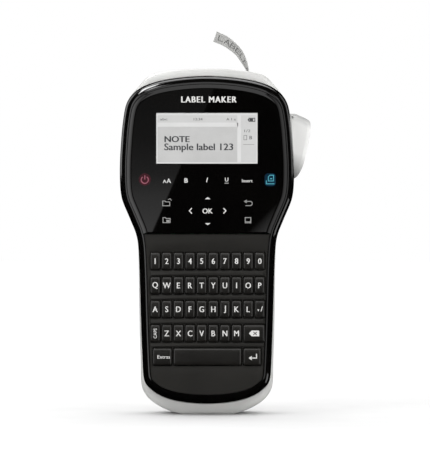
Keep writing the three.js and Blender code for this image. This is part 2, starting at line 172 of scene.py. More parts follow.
def loft(layers, cap0=True, cap1=True, closed=True):
    """(verts, faces) through loops of [x, z] at each y; the loops run counter-clockwise seen from the front."""
    n = len(layers[0][1])
    v, f = [], []
    for y, loop in layers:
        yy = np.asarray(y, float)
        for i, (x, z) in enumerate(loop):
            v.append((x, float(yy[i]) if yy.ndim else float(yy), z))
    for k in range(len(layers) - 1):
        for i in range(n if closed else n - 1):
            j = (i + 1) % n
            f.append((k * n + i, (k + 1) * n + i, (k + 1) * n + j, k * n + j))
    if cap0:
        f.append(tuple(range(n)))
    if cap1:
        k = (len(layers) - 1) * n
        f.append(tuple(reversed(range(k, k + n))))
    return v, f


def join_parts(parts):
    """Joins (verts, faces[, material index]) lists into one."""
    V, F, M = [], [], []
    for p in parts:
        v, f = p[0], p[1]
        mi = p[2] if len(p) > 2 else 0
        b = len(V)
        V += [tuple(q) for q in v]
        F += [tuple(i + b for i in q) for q in f]
        M += [mi] * len(f)
    return V, F, M


def rrect(x0, x1, z0, z1, r, seg=6):
    out = []
    for cx, cz, a0 in ((x1 - r, z0 + r, -90), (x1 - r, z1 - r, 0), (x0 + r, z1 - r, 90), (x0 + r, z0 + r, 180)):
        for k in range(seg + 1):
            a = math.radians(a0 + 90 * k / seg)
            out.append((cx + r * math.cos(a), cz + r * math.sin(a)))
    return np.array(out)


def circ(cx, cz, r, n=48, a0=0.0):
    a = a0 + np.arange(n) * 2 * math.pi / n
    return np.stack([cx + r * np.cos(a), cz + r * np.sin(a)], 1)


def boolean(o, cutters, op="DIFFERENCE"):
    for c in cutters:
        m = o.modifiers.new("cut", "BOOLEAN")
        m.operation, m.solver, m.object = op, "EXACT", c
        if hasattr(m, "use_self"):
            m.use_self = False
    dg = bpy.context.evaluated_depsgraph_get()
    me = bpy.data.meshes.new_from_object(o.evaluated_get(dg))
    o.modifiers.clear()
    o.data = me
    for c in cutters:
        bpy.data.objects.remove(c)
    return o


def bevel(o, width, segments=3, angle=30):
    m = o.modifiers.new("bevel", "BEVEL")
    m.width, m.segments, m.limit_method, m.angle_limit = width * MM, segments, "ANGLE", math.radians(angle)
    m.harden_normals = False
    dg = bpy.context.evaluated_depsgraph_get()
    me = bpy.data.meshes.new_from_object(o.evaluated_get(dg))
    o.modifiers.clear()
    o.data = me
    return o


def box_vf(x0, x1, y0, y1, z0, z1):
    v = [(x, y, z) for y in (y0, y1) for (x, z) in ((x0, z0), (x1, z0), (x1, z1), (x0, z1))]
    f = [(0, 1, 2, 3), (7, 6, 5, 4), (0, 4, 5, 1), (1, 5, 6, 2), (2, 6, 7, 3), (3, 7, 4, 0)]
    return v, f


# ------------------------------------------------------------------ materials


def new_mat(name):
    m = bpy.data.materials.new(name)
    m.use_nodes = True
    nt = m.node_tree
    for n in list(nt.nodes):
        nt.nodes.remove(n)
    out = nt.nodes.new("ShaderNodeOutputMaterial")
    bs = nt.nodes.new("ShaderNodeBsdfPrincipled")
    nt.links.new(bs.outputs[0], out.inputs[0])
    return m, nt, bs


def noise(nt, scale, detail=3.0, rough=0.5, stretch=None):
    tc = nt.nodes.new("ShaderNodeTexCoord")
    mp = nt.nodes.new("ShaderNodeMapping")
    if stretch:
        mp.inputs["Scale"].default_value = stretch
    tx = nt.nodes.new("ShaderNodeTexNoise")
    tx.inputs["Scale"].default_value = scale
    tx.inputs["Detail"].default_value = detail
    tx.inputs["Roughness"].default_value = rough
    nt.links.new(tc.outputs["Object"], mp.inputs["Vector"])
    nt.links.new(mp.outputs["Vector"], tx.inputs["Vector"])
    return tx


def ramp(nt, src, a, b, c0, c1):
    r = nt.nodes.new("ShaderNodeValToRGB")
    r.color_ramp.elements[0].position, r.color_ramp.elements[1].position = a, b
    r.color_ramp.elements[0].color = (*c0, 1) if hasattr(c0, "__len__") else (c0, c0, c0, 1)
    r.color_ramp.elements[1].color = (*c1, 1) if hasattr(c1, "__len__") else (c1, c1, c1, 1)
    nt.links.new(src, r.inputs[0])
    return r


def bump(nt, bs, height, strength, dist):
    b = nt.nodes.new("ShaderNodeBump")
    b.inputs["Strength"].default_value = strength
    b.inputs["Distance"].default_value = dist
    nt.links.new(height, b.inputs["Height"])
    nt.links.new(b.outputs[0], bs.inputs["Normal"])
    return b


def plastic(name, c0, c1, r0, r1, grain, strength, dist, metal=0.0, ior=1.5, coat=0.0, coat_r=0.03, tone=60, spec=0.5, detail=3.0):
    """Moulded plastic: slow colour drift, roughness that varies, and a fine moulded grain."""
    m, nt, bs = new_mat(name)
    slow = noise(nt, tone, 2.0)
    nt.links.new(ramp(nt, slow.outputs["Fac"], 0.3, 0.7, c0, c1).outputs[0], bs.inputs["Base Color"])
    fine = noise(nt, grain, detail, 0.6)
    nt.links.new(ramp(nt, fine.outputs["Fac"], 0.3, 0.7, r0, r1).outputs[0], bs.inputs["Roughness"])
    if strength > 0:
        bump(nt, bs, fine.outputs["Fac"], strength, dist)
    bs.inputs["Metallic"].default_value = metal
    bs.inputs["IOR"].default_value = ior
    bs.inputs["Specular IOR Level"].default_value = spec
    bs.inputs["Coat Weight"].default_value = coat
    bs.inputs["Coat Roughness"].default_value = coat_r
    return m


MAT_GLOSS = plastic("gloss_black_panel", (0.0010, 0.0009, 0.0009), (0.0018, 0.0016, 0.0015), 0.008, 0.016, 900, 0.0, 0.00002, tone=25)
MAT_RIM = plastic("gloss_black_rim", (0.0012, 0.0011, 0.0011), (0.0022, 0.0020, 0.0019), 0.08, 0.13, 1400, 0.03, 0.00002, tone=25)
MAT_PLATE = plastic("matte_keyboard_plate", (0.0090, 0.0083, 0.0068), (0.0135, 0.0124, 0.0104), 0.40, 0.56, 2600, 0.25, 0.00004, tone=40, spec=0.4)
MAT_KEY = plastic("key_plastic", (0.0062, 0.0055, 0.0045), (0.0098, 0.0088, 0.0073), 0.26, 0.36, 3200, 0.16, 0.00003, tone=80, spec=0.8)
MAT_SILVER = plastic("silver_plastic", (0.52, 0.52, 0.508), (0.585, 0.585, 0.572), 0.34, 0.46, 3600, 0.12, 0.00003, metal=0.15, tone=30)
MAT_SILVER_DARK = plastic("silver_recess", (0.2, 0.2, 0.195), (0.26, 0.26, 0.25), 0.4, 0.5, 3600, 0.12, 0.00003, metal=0.2, tone=30)
MAT_LEVER = plastic("lever_pearl", (0.80, 0.80, 0.785), (0.86, 0.86, 0.845), 0.28, 0.36, 3000, 0.08, 0.00003, metal=0.05, tone=45)
MAT_WHITE = plastic("legend_white", (0.62, 0.615, 0.60), (0.70, 0.695, 0.68), 0.45, 0.6, 2500, 0.05, 0.00001, tone=200)
MAT_ICON = plastic("icon_white", (0.58, 0.58, 0.57), (0.66, 0.66, 0.65), 0.45, 0.6, 2500, 0.05, 0.00001, tone=200)
MAT_GREYPRINT = plastic("icon_grey", (0.26, 0.26, 0.255), (0.32, 0.32, 0.31), 0.45, 0.6, 2500, 0.05, 0.00001, tone=200)
MAT_RED = plastic("icon_red", (0.22, 0.055, 0.085), (0.28, 0.075, 0.11), 0.4, 0.55, 2500, 0.05, 0.00001, tone=200)
MAT_REDGLOW = plastic("icon_red_patch", (0.030, 0.004, 0.008), (0.042, 0.006, 0.011), 0.1, 0.2, 2500, 0.02, 0.00001, tone=200)
MAT_CYAN = plastic("icon_cyan", (0.045, 0.30, 0.38), (0.06, 0.36, 0.45), 0.4, 0.55, 2500, 0.05, 0.00001, tone=200)
MAT_CYANGLOW = plastic("icon_cyan_patch", (0.002, 0.016, 0.032), (0.003, 0.022, 0.042), 0.1, 0.2, 2500, 0.02, 0.00001, tone=200)
MAT_FRAME = plastic("frame_plastic", (0.045, 0.047, 0.052), (0.06, 0.062, 0.068), 0.5, 0.65, 2400, 0.2, 0.00004, tone=40)
MAT_CASSETTE = plastic("cassette_plastic", (0.03, 0.031, 0.034), (0.042, 0.043, 0.047), 0.35, 0.5, 2400, 0.15, 0.00003, tone=40)
MAT_GEAR = plastic("gear_acetal", (0.72, 0.69, 0.6), (0.8, 0.77, 0.68), 0.4, 0.5, 1800, 0.05, 0.00002, tone=60)
MAT_RUBBER = plastic("platen_rubber", (0.02, 0.02, 0.02), (0.03, 0.03, 0.03), 0.7, 0.85, 3000, 0.3, 0.00004, tone=60)
MAT_STEEL = plastic("steel", (0.5, 0.5, 0.51), (0.6, 0.6, 0.61), 0.22, 0.34, 2200, 0.06, 0.00002, metal=1.0, tone=50)
MAT_BATT = plastic("battery_wrap", (0.02, 0.035, 0.06), (0.03, 0.048, 0.08), 0.25, 0.38, 900, 0.08, 0.00003, tone=40)
MAT_DARKHOLE = plastic("dark_recess", (0.004, 0.004, 0.004), (0.007, 0.007, 0.007), 0.6, 0.8, 2000, 0.1, 0.00003, tone=40)
MAT_GOLD = plastic("gold_contact", (0.75, 0.52, 0.2), (0.85, 0.6, 0.26), 0.2, 0.3, 1500, 0.03, 0.00001, metal=1.0, tone=80)
MAT_CREAM = plastic("cream_label", (0.62, 0.6, 0.55), (0.7, 0.68, 0.62), 0.5, 0.65, 1800, 0.06, 0.00002, tone=70)


def board_material():
    m, nt, bs = new_mat("solder_mask")
    tr = noise(nt, 260, 0.0, 0.5, stretch=(1, 1, 0.25))
    tr2 = noise(nt, 260, 0.0, 0.5, stretch=(0.25, 1, 1))
    mx = nt.nodes.new("ShaderNodeMath")
    mx.operation = "MAXIMUM"
    nt.links.new(tr.outputs["Fac"], mx.inputs[0])
    nt.links.new(tr2.outputs["Fac"], mx.inputs[1])
    nt.links.new(ramp(nt, mx.outputs[0], 0.56, 0.6, (0.008, 0.085, 0.035), (0.02, 0.16, 0.07)).outputs[0], bs.inputs["Base Color"])
    nt.links.new(ramp(nt, tr.outputs["Fac"], 0.3, 0.7, 0.25, 0.4).outputs[0], bs.inputs["Roughness"])
    bump(nt, bs, mx.outputs[0], 0.15, 0.00004)
    return m


MAT_BOARD = board_material()


def screen_material():
    """Reflective dot-matrix panel: pale grey with a fine square cell grid."""
    m, nt, bs = new_mat("lcd_panel")
    tc = nt.nodes.new("ShaderNodeTexCoord")
    sp = nt.nodes.new("ShaderNodeSeparateXYZ")
    nt.links.new(tc.outputs["Object"], sp.inputs[0])

    def line(axis):
        mul = nt.nodes.new("ShaderNodeMath")
        mul.operation, mul.inputs[1].default_value = "MULTIPLY", 1 / 0.00045
        nt.links.new(sp.outputs[axis], mul.inputs[0])
        fr = nt.nodes.new("ShaderNodeMath")
        fr.operation = "FRACT"
        nt.links.new(mul.outputs[0], fr.inputs[0])
        gt = nt.nodes.new("ShaderNodeMath")
        gt.operation, gt.inputs[1].default_value = "LESS_THAN", 0.18
        nt.links.new(fr.outputs[0], gt.inputs[0])
        return gt

    a, b = line("X"), line("Z")
    mx = nt.nodes.new("ShaderNodeMath")
    mx.operation = "MAXIMUM"
    nt.links.new(a.outputs[0], mx.inputs[0])
    nt.links.new(b.outputs[0], mx.inputs[1])
    cloud = noise(nt, 70, 2.0)
    base = ramp(nt, cloud.outputs["Fac"], 0.35, 0.65, (0.45, 0.45, 0.446), (0.505, 0.505, 0.50))
    mix = nt.nodes.new("ShaderNodeMix")
    mix.data_type = "RGBA"
    nt.links.new(mx.outputs[0], mix.inputs[0])
    nt.links.new(base.outputs[0], mix.inputs[6])
    mix.inputs[7].default_value = (0.55, 0.55, 0.545, 1)
    nt.links.new(mix.outputs[2], bs.inputs["Base Color"])
    nt.links.new(ramp(nt, cloud.outputs["Fac"], 0.3, 0.7, 0.3, 0.4).outputs[0], bs.inputs["Roughness"])
    bs.inputs["Coat Weight"].default_value = 1.0
    bs.inputs["Coat Roughness"].default_value = 0.012
    return m


MAT_LCD = screen_material()
MAT_LCDFRAME = plastic("lcd_border", (0.62, 0.62, 0.616), (0.67, 0.67, 0.666), 0.3, 0.4, 1800, 0.0, 0.00001, tone=80, coat=1.0, coat_r=0.012)
MAT_LCDBAND = plastic("lcd_band", (0.53, 0.53, 0.526), (0.58, 0.58, 0.576), 0.3, 0.4, 1800, 0.0, 0.00001, tone=80, coat=1.0, coat_r=0.012)
MAT_LCDINK = plastic("lcd_segment", (0.028, 0.03, 0.034), (0.045, 0.047, 0.052), 0.3, 0.4, 2200, 0.0, 0.00001, tone=200, coat=1.0, coat_r=0.012)
MAT_LCDGREY = plastic("lcd_segment_faint", (0.13, 0.13, 0.13), (0.18, 0.18, 0.18), 0.3, 0.4, 2200, 0.0, 0.00001, tone=200, coat=1.0, coat_r=0.012)


def tape_material():
    m, nt, bs = new_mat("label_film")
    n = noise(nt, 500, 2.0)
    nt.links.new(ramp(nt, n.outputs["Fac"], 0.3, 0.7, (0.535, 0.535, 0.525), (0.565, 0.565, 0.555)).outputs[0], bs.inputs["Base Color"])
    nt.links.new(ramp(nt, n.outputs["Fac"], 0.3, 0.7, 0.5, 0.6).outputs[0], bs.inputs["Roughness"])
    bump(nt, bs, n.outputs["Fac"], 0.02, 0.00001)
    return m


MAT_TAPE = tape_material()


def ride(o, body="root", replaces=()):
    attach(o, body)
    if replaces:
        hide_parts(*replaces)
    return o


# ------------------------------------------------------------------ front shell
# How wide the rounded rim is all the way round: widest under the chin, narrow at the waist.
zB = B[:, 1]
topness = np.clip((zB - 179) / 20, 0, 1) ** 1.2
chin = np.clip((25 - zB) / 18, 0, 1) ** 1.1
RIMW = 4.15 + 1.2 * topness + 1.35 * chin
for _ in range(30):
    RIMW = 0.5 * RIMW + 0.25 * (np.roll(RIMW, 1) + np.roll(RIMW, -1))


def rim_loop(f, extra=0.0):
    return inset(B, RIMW * f + extra)


prof = []  # (fraction of the rim width, y)
prof.append((0.30, Y_PART + 0.02))
prof.append((0.06, Y_PART - 0.03))
prof.append((0.0, Y_PART - 0.4))
prof.append((0.0, -17.5))
A_END = math.radians(80)
F_END = 1 - math.cos(A_END) ** 0.92
for k in range(1, 15):
    a = A_END * k / 14
    prof.append(((1 - math.cos(a) ** 0.92) / F_END, -17.5 - 10.0 * (math.sin(a) / math.sin(A_END)) ** 1.05))
rim_layers = [(y, rim_loop(f)) for f, y in prof][::-1]
v1, f1 = loft(rim_layers, cap0=False, cap1=False)
# The step down from the rim to the matte plate, then the land under the glossy panel.
E = rim_loop(1.0)
land = [
    (Y_FRONT + 0.9, inset(E, 0.55)),
    (Y_FRONT + 0.9, inset(E, 0.35)),
    (Y_FRONT + 0.12, inset(E, 0.3)),
    (Y_FRONT, inset(E, 0.18)),
    (Y_FRONT, E),
]
v2, f2 = loft(land, cap0=False, cap1=False)
# The inside wall of the shell.
inner = [
    (Y_PART + 0.02, rim_loop(0.30)),
    (Y_PART + 0.02, inset(B, 2.3)),
    (-24.5, inset(B, 3.6)),
]
v3, f3 = loft(inner, cap0=False, cap1=False)
f3 = [tuple(reversed(q)) for q in f3]
V, F, M_ = join_parts([(v1, f1), (v2, f2), (v3, f3)])
rim = make("front_shell_rim", V, F, MAT_RIM)
clean(rim)


# A box cutter, as used for the socket mouths in the left wall of the head.
def cut_box(*b, m=None):
    v, f = box_vf(*b)
    return make("cutter", v, f, m or MAT_RIM, smooth=False)


# ------------------------------------------------------------------ keyboard plate
keys = []


def col(i):
    return (i - 4.5) * KEY_PITCH + KEY_X0


def key_at(name, legend, row, c0, c1):
    z = KEY_ROWS[row]
    keys.append((name, legend, col(c0) - KEY_W / 2, col(c1) + KEY_W / 2, z - KEY_H / 2, z + KEY_H / 2))


for i, k in enumerate("1234567890"):
    key_at("key_" + k, k, 0, i, i)
for i, k in enumerate("qwertyuiop"):
    key_at("key_" + k, k.upper(), 1, i, i)
for i, k in enumerate("asdfghjkl"):
    key_at("key_" + k, k.upper(), 2, i, i)
key_at("key_comma", ",.", 2, 9, 9)
key_at("key_caps", "CAPS", 3, 0, 0)
for i, k in enumerate("zxcvbnm"):
    key_at("key_" + k, k.upper(), 3, i + 1, i + 1)
key_at("key_backspace", "backspace", 3, 8, 9)
key_at("key_extras", "Extras", 4, 0, 1)
key_at("key_space", "", 4, 2, 7)
key_at("key_return", "return", 4, 8, 9)
keys = [(n, l, -31.9 if n == "key_extras" else a, 32.3 if n == "key_return" else b, q, r) for n, l, a, b, q, r in keys]

# The plate fills the rim's opening below the glossy panel, a little sunk, with a soft edge.
plate_loop = inset(E, 0.62)
keep = plate_loop[:, 1] < FACE_BOTTOM - 0.4
order = np.where(keep)[0]
# The loop starts at the bottom centre, so the kept run is [0..a] and [b..N).
gap_at = np.where(np.diff(order) > 1)[0][0]
right_run, left_run = order[: gap_at + 1], order[gap_at + 1:]
lower = np.vstack([plate_loop[left_run], plate_loop[right_run]])
top_z = FACE_BOTTOM - 0.25
xr, xl = lower[-1][0], lower[0][0]
lower = np.vstack([lower, [[xr + 0.15, top_z]], [[xl - 0.15, top_z]]])
PLATE_Y = Y_FRONT + 0.18
v, f = loft([
    (PLATE_Y, inset(lower, 0.25, 0)),
    (PLATE_Y + 0.22, lower),
    (Y_FRONT + 2.4, lower),
])
plate = make("keyboard_plate", v, f, MAT_PLATE, smooth=False)
cuts = []
for name, leg, x0, x1, z0, z1 in keys:
    vv, ff = loft([(Y_FRONT - 2, rrect(x0 - 0.28, x1 + 0.28, z0 - 0.28, z1 + 0.28, 0.9, 3)), (Y_FRONT + 5, rrect(x0 - 0.28, x1 + 0.28, z0 - 0.28, z1 + 0.28, 0.9, 3))])
    cuts.append((vv, ff))
V, F, M_ = join_parts(cuts)
boolean(plate, [make("cutter", V, F, MAT_PLATE, smooth=False)])
bevel(plate, 0.16, 2, 50)
plate.data.shade_smooth()
sharpen(plate, 40)
ride(plate, "root", ["front_housing"])

# Low ridges between the key rows.
ridges = []
for a, b in zip(KEY_ROWS[:-1], KEY_ROWS[1:]):
    zc = (a + b) / 2
    h = (a - b) / 2 - KEY_H / 2 - 0.62
    loop = rrect(-33.3, 33.7, zc - h, zc + h, min(0.5, h * 0.9), 4)
    ridges.append(loft([(PLATE_Y - 0.42, inset(loop, 0.3, 0)), (PLATE_Y - 0.32, inset(loop, 0.1, 0)), (PLATE_Y + 0.1, loop)]))
V, F, M_ = join_parts(ridges)
rd = make("row_ridges", V, F, MAT_PLATE, angle=50)
ride(rd, "root")

# Key shaft floor: the dark rubber mat under the keys.
v, f = loft([(-22.2, rrect(-35, 35.4, 26, 100, 3, 6)), (-21.4, rrect(-35, 35.4, 26, 100, 3, 6))])
domes = [(v, f)]
for name, leg, x0, x1, z0, z1 in keys:
    cx, cz = (x0 + x1) / 2, (z0 + z1) / 2
    domes.append(loft([(-22.6, circ(cx, cz, 1.5, 16)), (-22.5, circ(cx, cz, 1.9, 16)), (-22.1, circ(cx, cz, 2.5, 16))]))
V, F, M_ = join_parts(domes)
ride(make("keypad_mat", V, F, MAT_RUBBER), "root")

# ------------------------------------------------------------------ legends


def text_vf(txt, cx, cz, size, y, bold=0.0, rot=0.0, sx=1.0, align="CENTER", thick=0.03, spacing=1.0, shear=0.0):
    """Flat text as thin solids facing -Y: (verts, faces) in millimetres."""
    cu = bpy.data.curves.new("txt", "FONT")
    cu.body = txt
    cu.size = size
    cu.offset = 0.0
    cu.shear = shear
    cu.space_character = spacing
    cu.align_x = align
    cu.align_y = "CENTER"
    cu.resolution_u = 3
    cu.extrude = thick / 2
    o = bpy.data.objects.new("txt", cu)
    scene.collection.objects.link(o)
    dg = bpy.context.evaluated_depsgraph_get()
    me = bpy.data.meshes.new_from_object(o.evaluated_get(dg))
    co = np.array([p.co for p in me.vertices], float).reshape(-1, 3)
    faces = [tuple(p.vertices) for p in me.polygons]
    bpy.data.objects.remove(o)
    bpy.data.meshes.remove(me)
    bpy.data.curves.remove(cu)
    if not len(co):
        return [], []
    x, z, d = co[:, 0] * sx, co[:, 1], co[:, 2]
    z = z - (z.max() + z.min()) / 2
    if align == "CENTER":
        x = x - (x.max() + x.min()) / 2
    c, s = math.cos(rot), math.sin(rot)
    X, Z = x * c - z * s, x * s + z * c
    return list(zip(cx + X, y - d, cz + Z)), faces


def label_vf(txt, cx, cz, size, y, fit=None, heavy=0.0, **kw):
    """Text, thickened by laying copies side by side, each a hair proud of the last, and optionally squeezed to a width."""
    if fit:
        v, f = text_vf(txt, 0, 0, size, y, **{**kw, "sx": 1.0})
        w = max(q[0] for q in v) - min(q[0] for q in v)
        kw = {**kw, "sx": fit / w}
    out = []
    for i, k in enumerate((0.0,) if not heavy else (-heavy, heavy, 0.0)):
        out.append(text_vf(txt, cx + k, cz, size, y - 0.012 * i, **kw))
    v, f, _ = join_parts(out)
    return v, f


def strip_vf(points, width, y, closed=False, thick=0.03):
    """A flat printed line of the given width through [x, z] points."""
    p = np.array(points, float)
    n = len(p)
    L, R_ = [], []
    for i in range(n):
        if closed:
            a, b = p[(i - 1) % n], p[(i + 1) % n]
            t0, t1 = p[i] - a, b - p[i]
        else:
            t0 = p[i] - p[i - 1] if i else p[1] - p[0]
            t1 = p[i + 1] - p[i] if i < n - 1 else p[i] - p[i - 1]
        t0, t1 = t0 / (np.linalg.norm(t0) + 1e-9), t1 / (np.linalg.norm(t1) + 1e-9)
        n0, n1 = np.array([-t0[1], t0[0]]), np.array([-t1[1], t1[0]])
        m = n0 + n1
        m = m / max(0.5, (1 + n0 @ n1))
        L.append(p[i] + m * width / 2)
        R_.append(p[i] - m * width / 2)
    v = []
    for yy in (y - thick / 2, y + thick / 2):
        v += [(q[0], yy, q[1]) for q in L] + [(q[0], yy, q[1]) for q in R_]
    f = []
    o2 = 2 * n
    for i in range(n if closed else n - 1):
        j = (i + 1) % n
        f.append((i, n + i, n + j, j))
        f.append((o2 + j, o2 + n + j, o2 + n + i, o2 + i))
        f.append((i, j, o2 + j, o2 + i))
        f.append((n + j, n + i, o2 + n + i, o2 + n + j))
    if not closed:
        f.append((0, o2, o2 + n, n))
        f.append((n - 1, 2 * n - 1, o2 + 2 * n - 1, o2 + n - 1))
    return v, f


def disc_vf(cx, cz, r, y, n=20, thick=0.03):
    return loft([(y - thick / 2, circ(cx, cz, r, n)), (y + thick / 2, circ(cx, cz, r, n))])


def poly_vf(pts, y, thick=0.03):
    p = np.array(pts, float)
    area = np.sum(p[:, 0] * np.roll(p[:, 1], -1) - np.roll(p[:, 0], -1) * p[:, 1])
    if area < 0:
        p = p[::-1]
    return loft([(y - thick / 2, p), (y + thick / 2, p)])


# ------------------------------------------------------------------ keys
# Each key is a small pillow that falls away to its left and bottom, so the right edge stands proud.


def key_top_y(u, w, x0, x1, z0, z1):
    """Height of the key's crown at x = u, z = w: a pillow whose high ridge lies right of and above its middle."""
    right = max(0.0, (u - (x1 - 1.9)) / 1.9)
    left = max(0.0, (x0 + 1.3 - u) / 1.3)
    fz = (w - z0) / (z1 - z0)
    return Y_KEYTOP + 0.12 + 0.62 * right ** 2 + 0.12 * left ** 2 + 0.5 * max(0.0, (fz - 0.7) / 0.3) ** 2 + 0.3 * max(0.0, (0.3 - fz) / 0.3) ** 2


def long_rrect(x0, x1, z0, z1, r, seg=3, n=10):
    """A rounded rectangle with points along its straight sides too."""
    out = []
    corners = ((x1 - r, z0 + r, -90), (x1 - r, z1 - r, 0), (x0 + r, z1 - r, 90), (x0 + r, z0 + r, 180))
    for i, (cx, cz, a0) in enumerate(corners):
        arc_pts = [(cx + r * math.cos(math.radians(a0 + 90 * k / seg)), cz + r * math.sin(math.radians(a0 + 90 * k / seg))) for k in range(seg + 1)]
        out += arc_pts
        nx, nz, na = corners[(i + 1) % 4]
        q = (nx + r * math.cos(math.radians(na)), nz + r * math.sin(math.radians(na)))
        p = arc_pts[-1]
        out += [(p[0] + (q[0] - p[0]) * k / (n + 1), p[1] + (q[1] - p[1]) * k / (n + 1)) for k in range(1, n + 1)]
    return np.array(out)


def key_mesh(name, legend, x0, x1, z0, z1):
    rings = []
    steps = ((0.0, None), (0.0, 0.85), (0.1, 0.5), (0.28, 0.22), (0.55, 0.06), (0.85, 0.0), (1.1, 0.0), (1.4, 0.0), (1.75, 0.0), (2.2, 0.0), (2.6, 0.0))
    for d, drop in steps:
        # The left wall is nearly upright, so that side stays dark.
        dl = d * 0.3 if d <= 0.85 else d - 0.595
        loop = long_rrect(x0 + dl, x1 - d, z0 + d, z1 - d, max(0.12, 0.95 - d * 0.55))
        if drop is None:
            ys = np.full(len(loop), Y_FRONT + 3.9)
        else:
            ys = np.array([key_top_y(px, pz, x0, x1, z0, z1) + drop for px, pz in loop])
        rings.append((ys, loop))
    v, f = loft(rings[::-1])
    parts = [(v, f, 0)]
    cx, cz = (x0 + x1) / 2 - 0.2, (z0 + z1) / 2

    def on(vf):
        vv, ff = vf
        out = []
        for x, y, z in vv:
            out.append((x, key_top_y(x, z, x0, x1, z0, z1) - 0.05 + y, z))
        return out, ff, 1

    if legend == "CAPS":
        parts.append(on(label_vf("CAPS", cx, cz, 2.6, 0, heavy=0.05, rot=math.pi / 2)))
    elif legend == "Extras":
        parts.append(on(label_vf("Extras", cx + 0.9, cz, 2.9, 0, fit=7.4, heavy=0.04)))
    elif legend == "backspace":
        parts.append(on(poly_vf([(cx - 3.0, cz), (cx - 1.4, cz + 1.7), (cx + 3.1, cz + 1.7), (cx + 3.1, cz - 1.7), (cx - 1.4, cz - 1.7)], 0)))
        cross = [(strip_vf([(cx - 0.4, cz - 0.9), (cx + 1.6, cz + 0.9)], 0.42, -0.04)), (strip_vf([(cx - 0.4, cz + 0.9), (cx + 1.6, cz - 0.9)], 0.42, -0.04))]
        for c in cross:
            vv, ff, _ = on(c)
            parts.append((vv, ff, 0))
    elif legend == "return":
        parts.append(on(strip_vf([(cx + 2.6, cz + 1.9), (cx + 2.6, cz - 0.7), (cx - 0.4, cz - 0.7)], 0.6, 0)))
        parts.append(on(poly_vf([(cx - 2.1, cz - 0.7), (cx - 0.2, cz + 0.6), (cx - 0.2, cz - 2.0)], 0)))
    elif legend == ",.":
        parts.append(on(label_vf(",", cx - 0.9, cz - 0.6, 5.0, 0, heavy=0.1)))
        parts.append(on(label_vf("/", cx + 1.1, cz + 0.2, 4.2, 0, heavy=0.08)))
    elif legend:
        parts.append(on(label_vf(legend, cx, cz, 4.9, 0, heavy=0.1, sx=0.88)))
    V, F, M = join_parts(parts)
    o = make(name + "_cap", V, F, [MAT_KEY, MAT_WHITE], M, angle=60)
    ride(o, name, [name])
    return o


for k in keys:
    key_mesh(*k)

# ------------------------------------------------------------------ glossy head panel
LX0, LX1, LZ0, LZ1 = -30.1, 30.1, 149.5, 179.7


def head_part(loop, zb, rc=1.2):
    """The part of a loop above zb, closed straight across, starting at the lower left corner."""
    idx = np.where(loop[:, 1] > zb)[0]
    run = loop[idx]  # right side up, over, and down the left side
    xr = np.interp(zb, loop[: N // 2, 1], loop[: N // 2, 0])
    return np.vstack([[[-xr, zb]], [[-xr * 0.33, zb]], [[xr * 0.33, zb]], [[xr, zb]], run])


def panel_loop(e, zb):
    return head_part(inset(E, e), zb)


base_run = np.where(inset(E, 0.35)[:, 1] > FACE_BOTTOM + 1.5)[0]


def panel_ring(e, zb):
    """Same vertex count at every inset, so the rings loft together."""
    q = inset(E, e)
    run = q[base_run]
    xr = float(np.interp(zb, q[: N // 2 - 4, 1], q[: N // 2 - 4, 0]))
    n = 14
    xs = np.linspace(-xr, xr, n)
    return np.vstack([np.stack([xs, np.full(n, zb)], 1), run])


rings = []
PB = 2.7  # width of the rounded edge round the panel
for k in range(0, 9):
    t = k / 8
    rings.append((Y_FACE + 0.86 * t ** 1.7, panel_ring(0.38 + PB * (1 - t), FACE_BOTTOM + 0.05 + 0.95 * (1 - t) ** 1.2)))
rings.append((Y_FRONT + 0.85, panel_ring(0.38, FACE_BOTTOM + 0.05)))
v, f = loft(rings)
panel = make("head_panel", v, f, MAT_GLOSS, smooth=False)
vv, ff = loft([(Y_FACE - 2, rrect(LX0, LX1, LZ0, LZ1, 0.25, 2)), (Y_FRONT + 4, rrect(LX0, LX1, LZ0, LZ1, 0.25, 2))])
boolean(panel, [make("cutter", vv, ff, MAT_GLOSS, smooth=False)])
panel.data.shade_smooth()
sharpen(panel, 20)
for q in panel.data.polygons:
    if abs(q.normal.y) > 0.99995:
        q.use_smooth = False
ride(panel, "root", ["face_panel"])

# ------------------------------------------------------------------ screen
ys = Y_FACE + 0.3
parts = []
parts.append((*loft([(ys + 0.02, rrect(LX0 + 0.05, LX1 - 0.05, LZ0 + 0.05, LZ1 - 0.05, 0.3, 2)), (-24.0, rrect(LX0 + 0.05, LX1 - 0.05, LZ0 + 0.05, LZ1 - 0.05, 0.3, 2))]), 0))
# Pale border round the active area, the status band on top and the column on the right.
b0, b1, bt, bb = LX0 + 0.06, LX1 - 0.06, LZ1 - 0.06, LZ0 + 0.06
for q in (
    [(b0, bb), (b1, bb), (b1, bb + 0.9), (b0, bb + 0.9)],
    [(b0, bt - 1.4), (b1, bt - 1.4), (b1, bt), (b0, bt)],
    [(b0, bb + 0.9), (b0 + 0.9, bb + 0.9), (b0 + 0.9, bt - 1.4), (b0, bt - 1.4)],
    [(b1 - 0.9, bb + 0.9), (b1, bb + 0.9), (b1, bt - 1.4), (b1 - 0.9, bt - 1.4)],
    [(b0 + 0.9, 171.4), (18.4, 171.4), (18.4, 173.9), (b0 + 0.9, 173.9)],
    [(18.0, bb + 0.9), (20.2, bb + 0.9), (20.2, bt - 1.4), (18.0, bt - 1.4)],
):
    parts.append((*poly_vf(q, ys, 0.04), 1))
for q in ([(20.2, bb + 0.9), (b1 - 0.9, bb + 0.9), (b1 - 0.9, bt - 1.4), (20.2, bt - 1.4)],
          [(b0 + 0.9, 173.9), (18.0, 173.9), (18.0, bt - 1.4), (b0 + 0.9, bt - 1.4)]):
    parts.append((*poly_vf(q, ys + 0.005, 0.04), 4))
T = ys - 0.012
parts.append((*label_vf("abc", -25.6, 175.9, 2.1, T, fit=4.4, heavy=0.06), 3))
parts.append((*label_vf("12:34", -5.2, 175.9, 2.1, T, fit=5.2, heavy=0.06), 3))
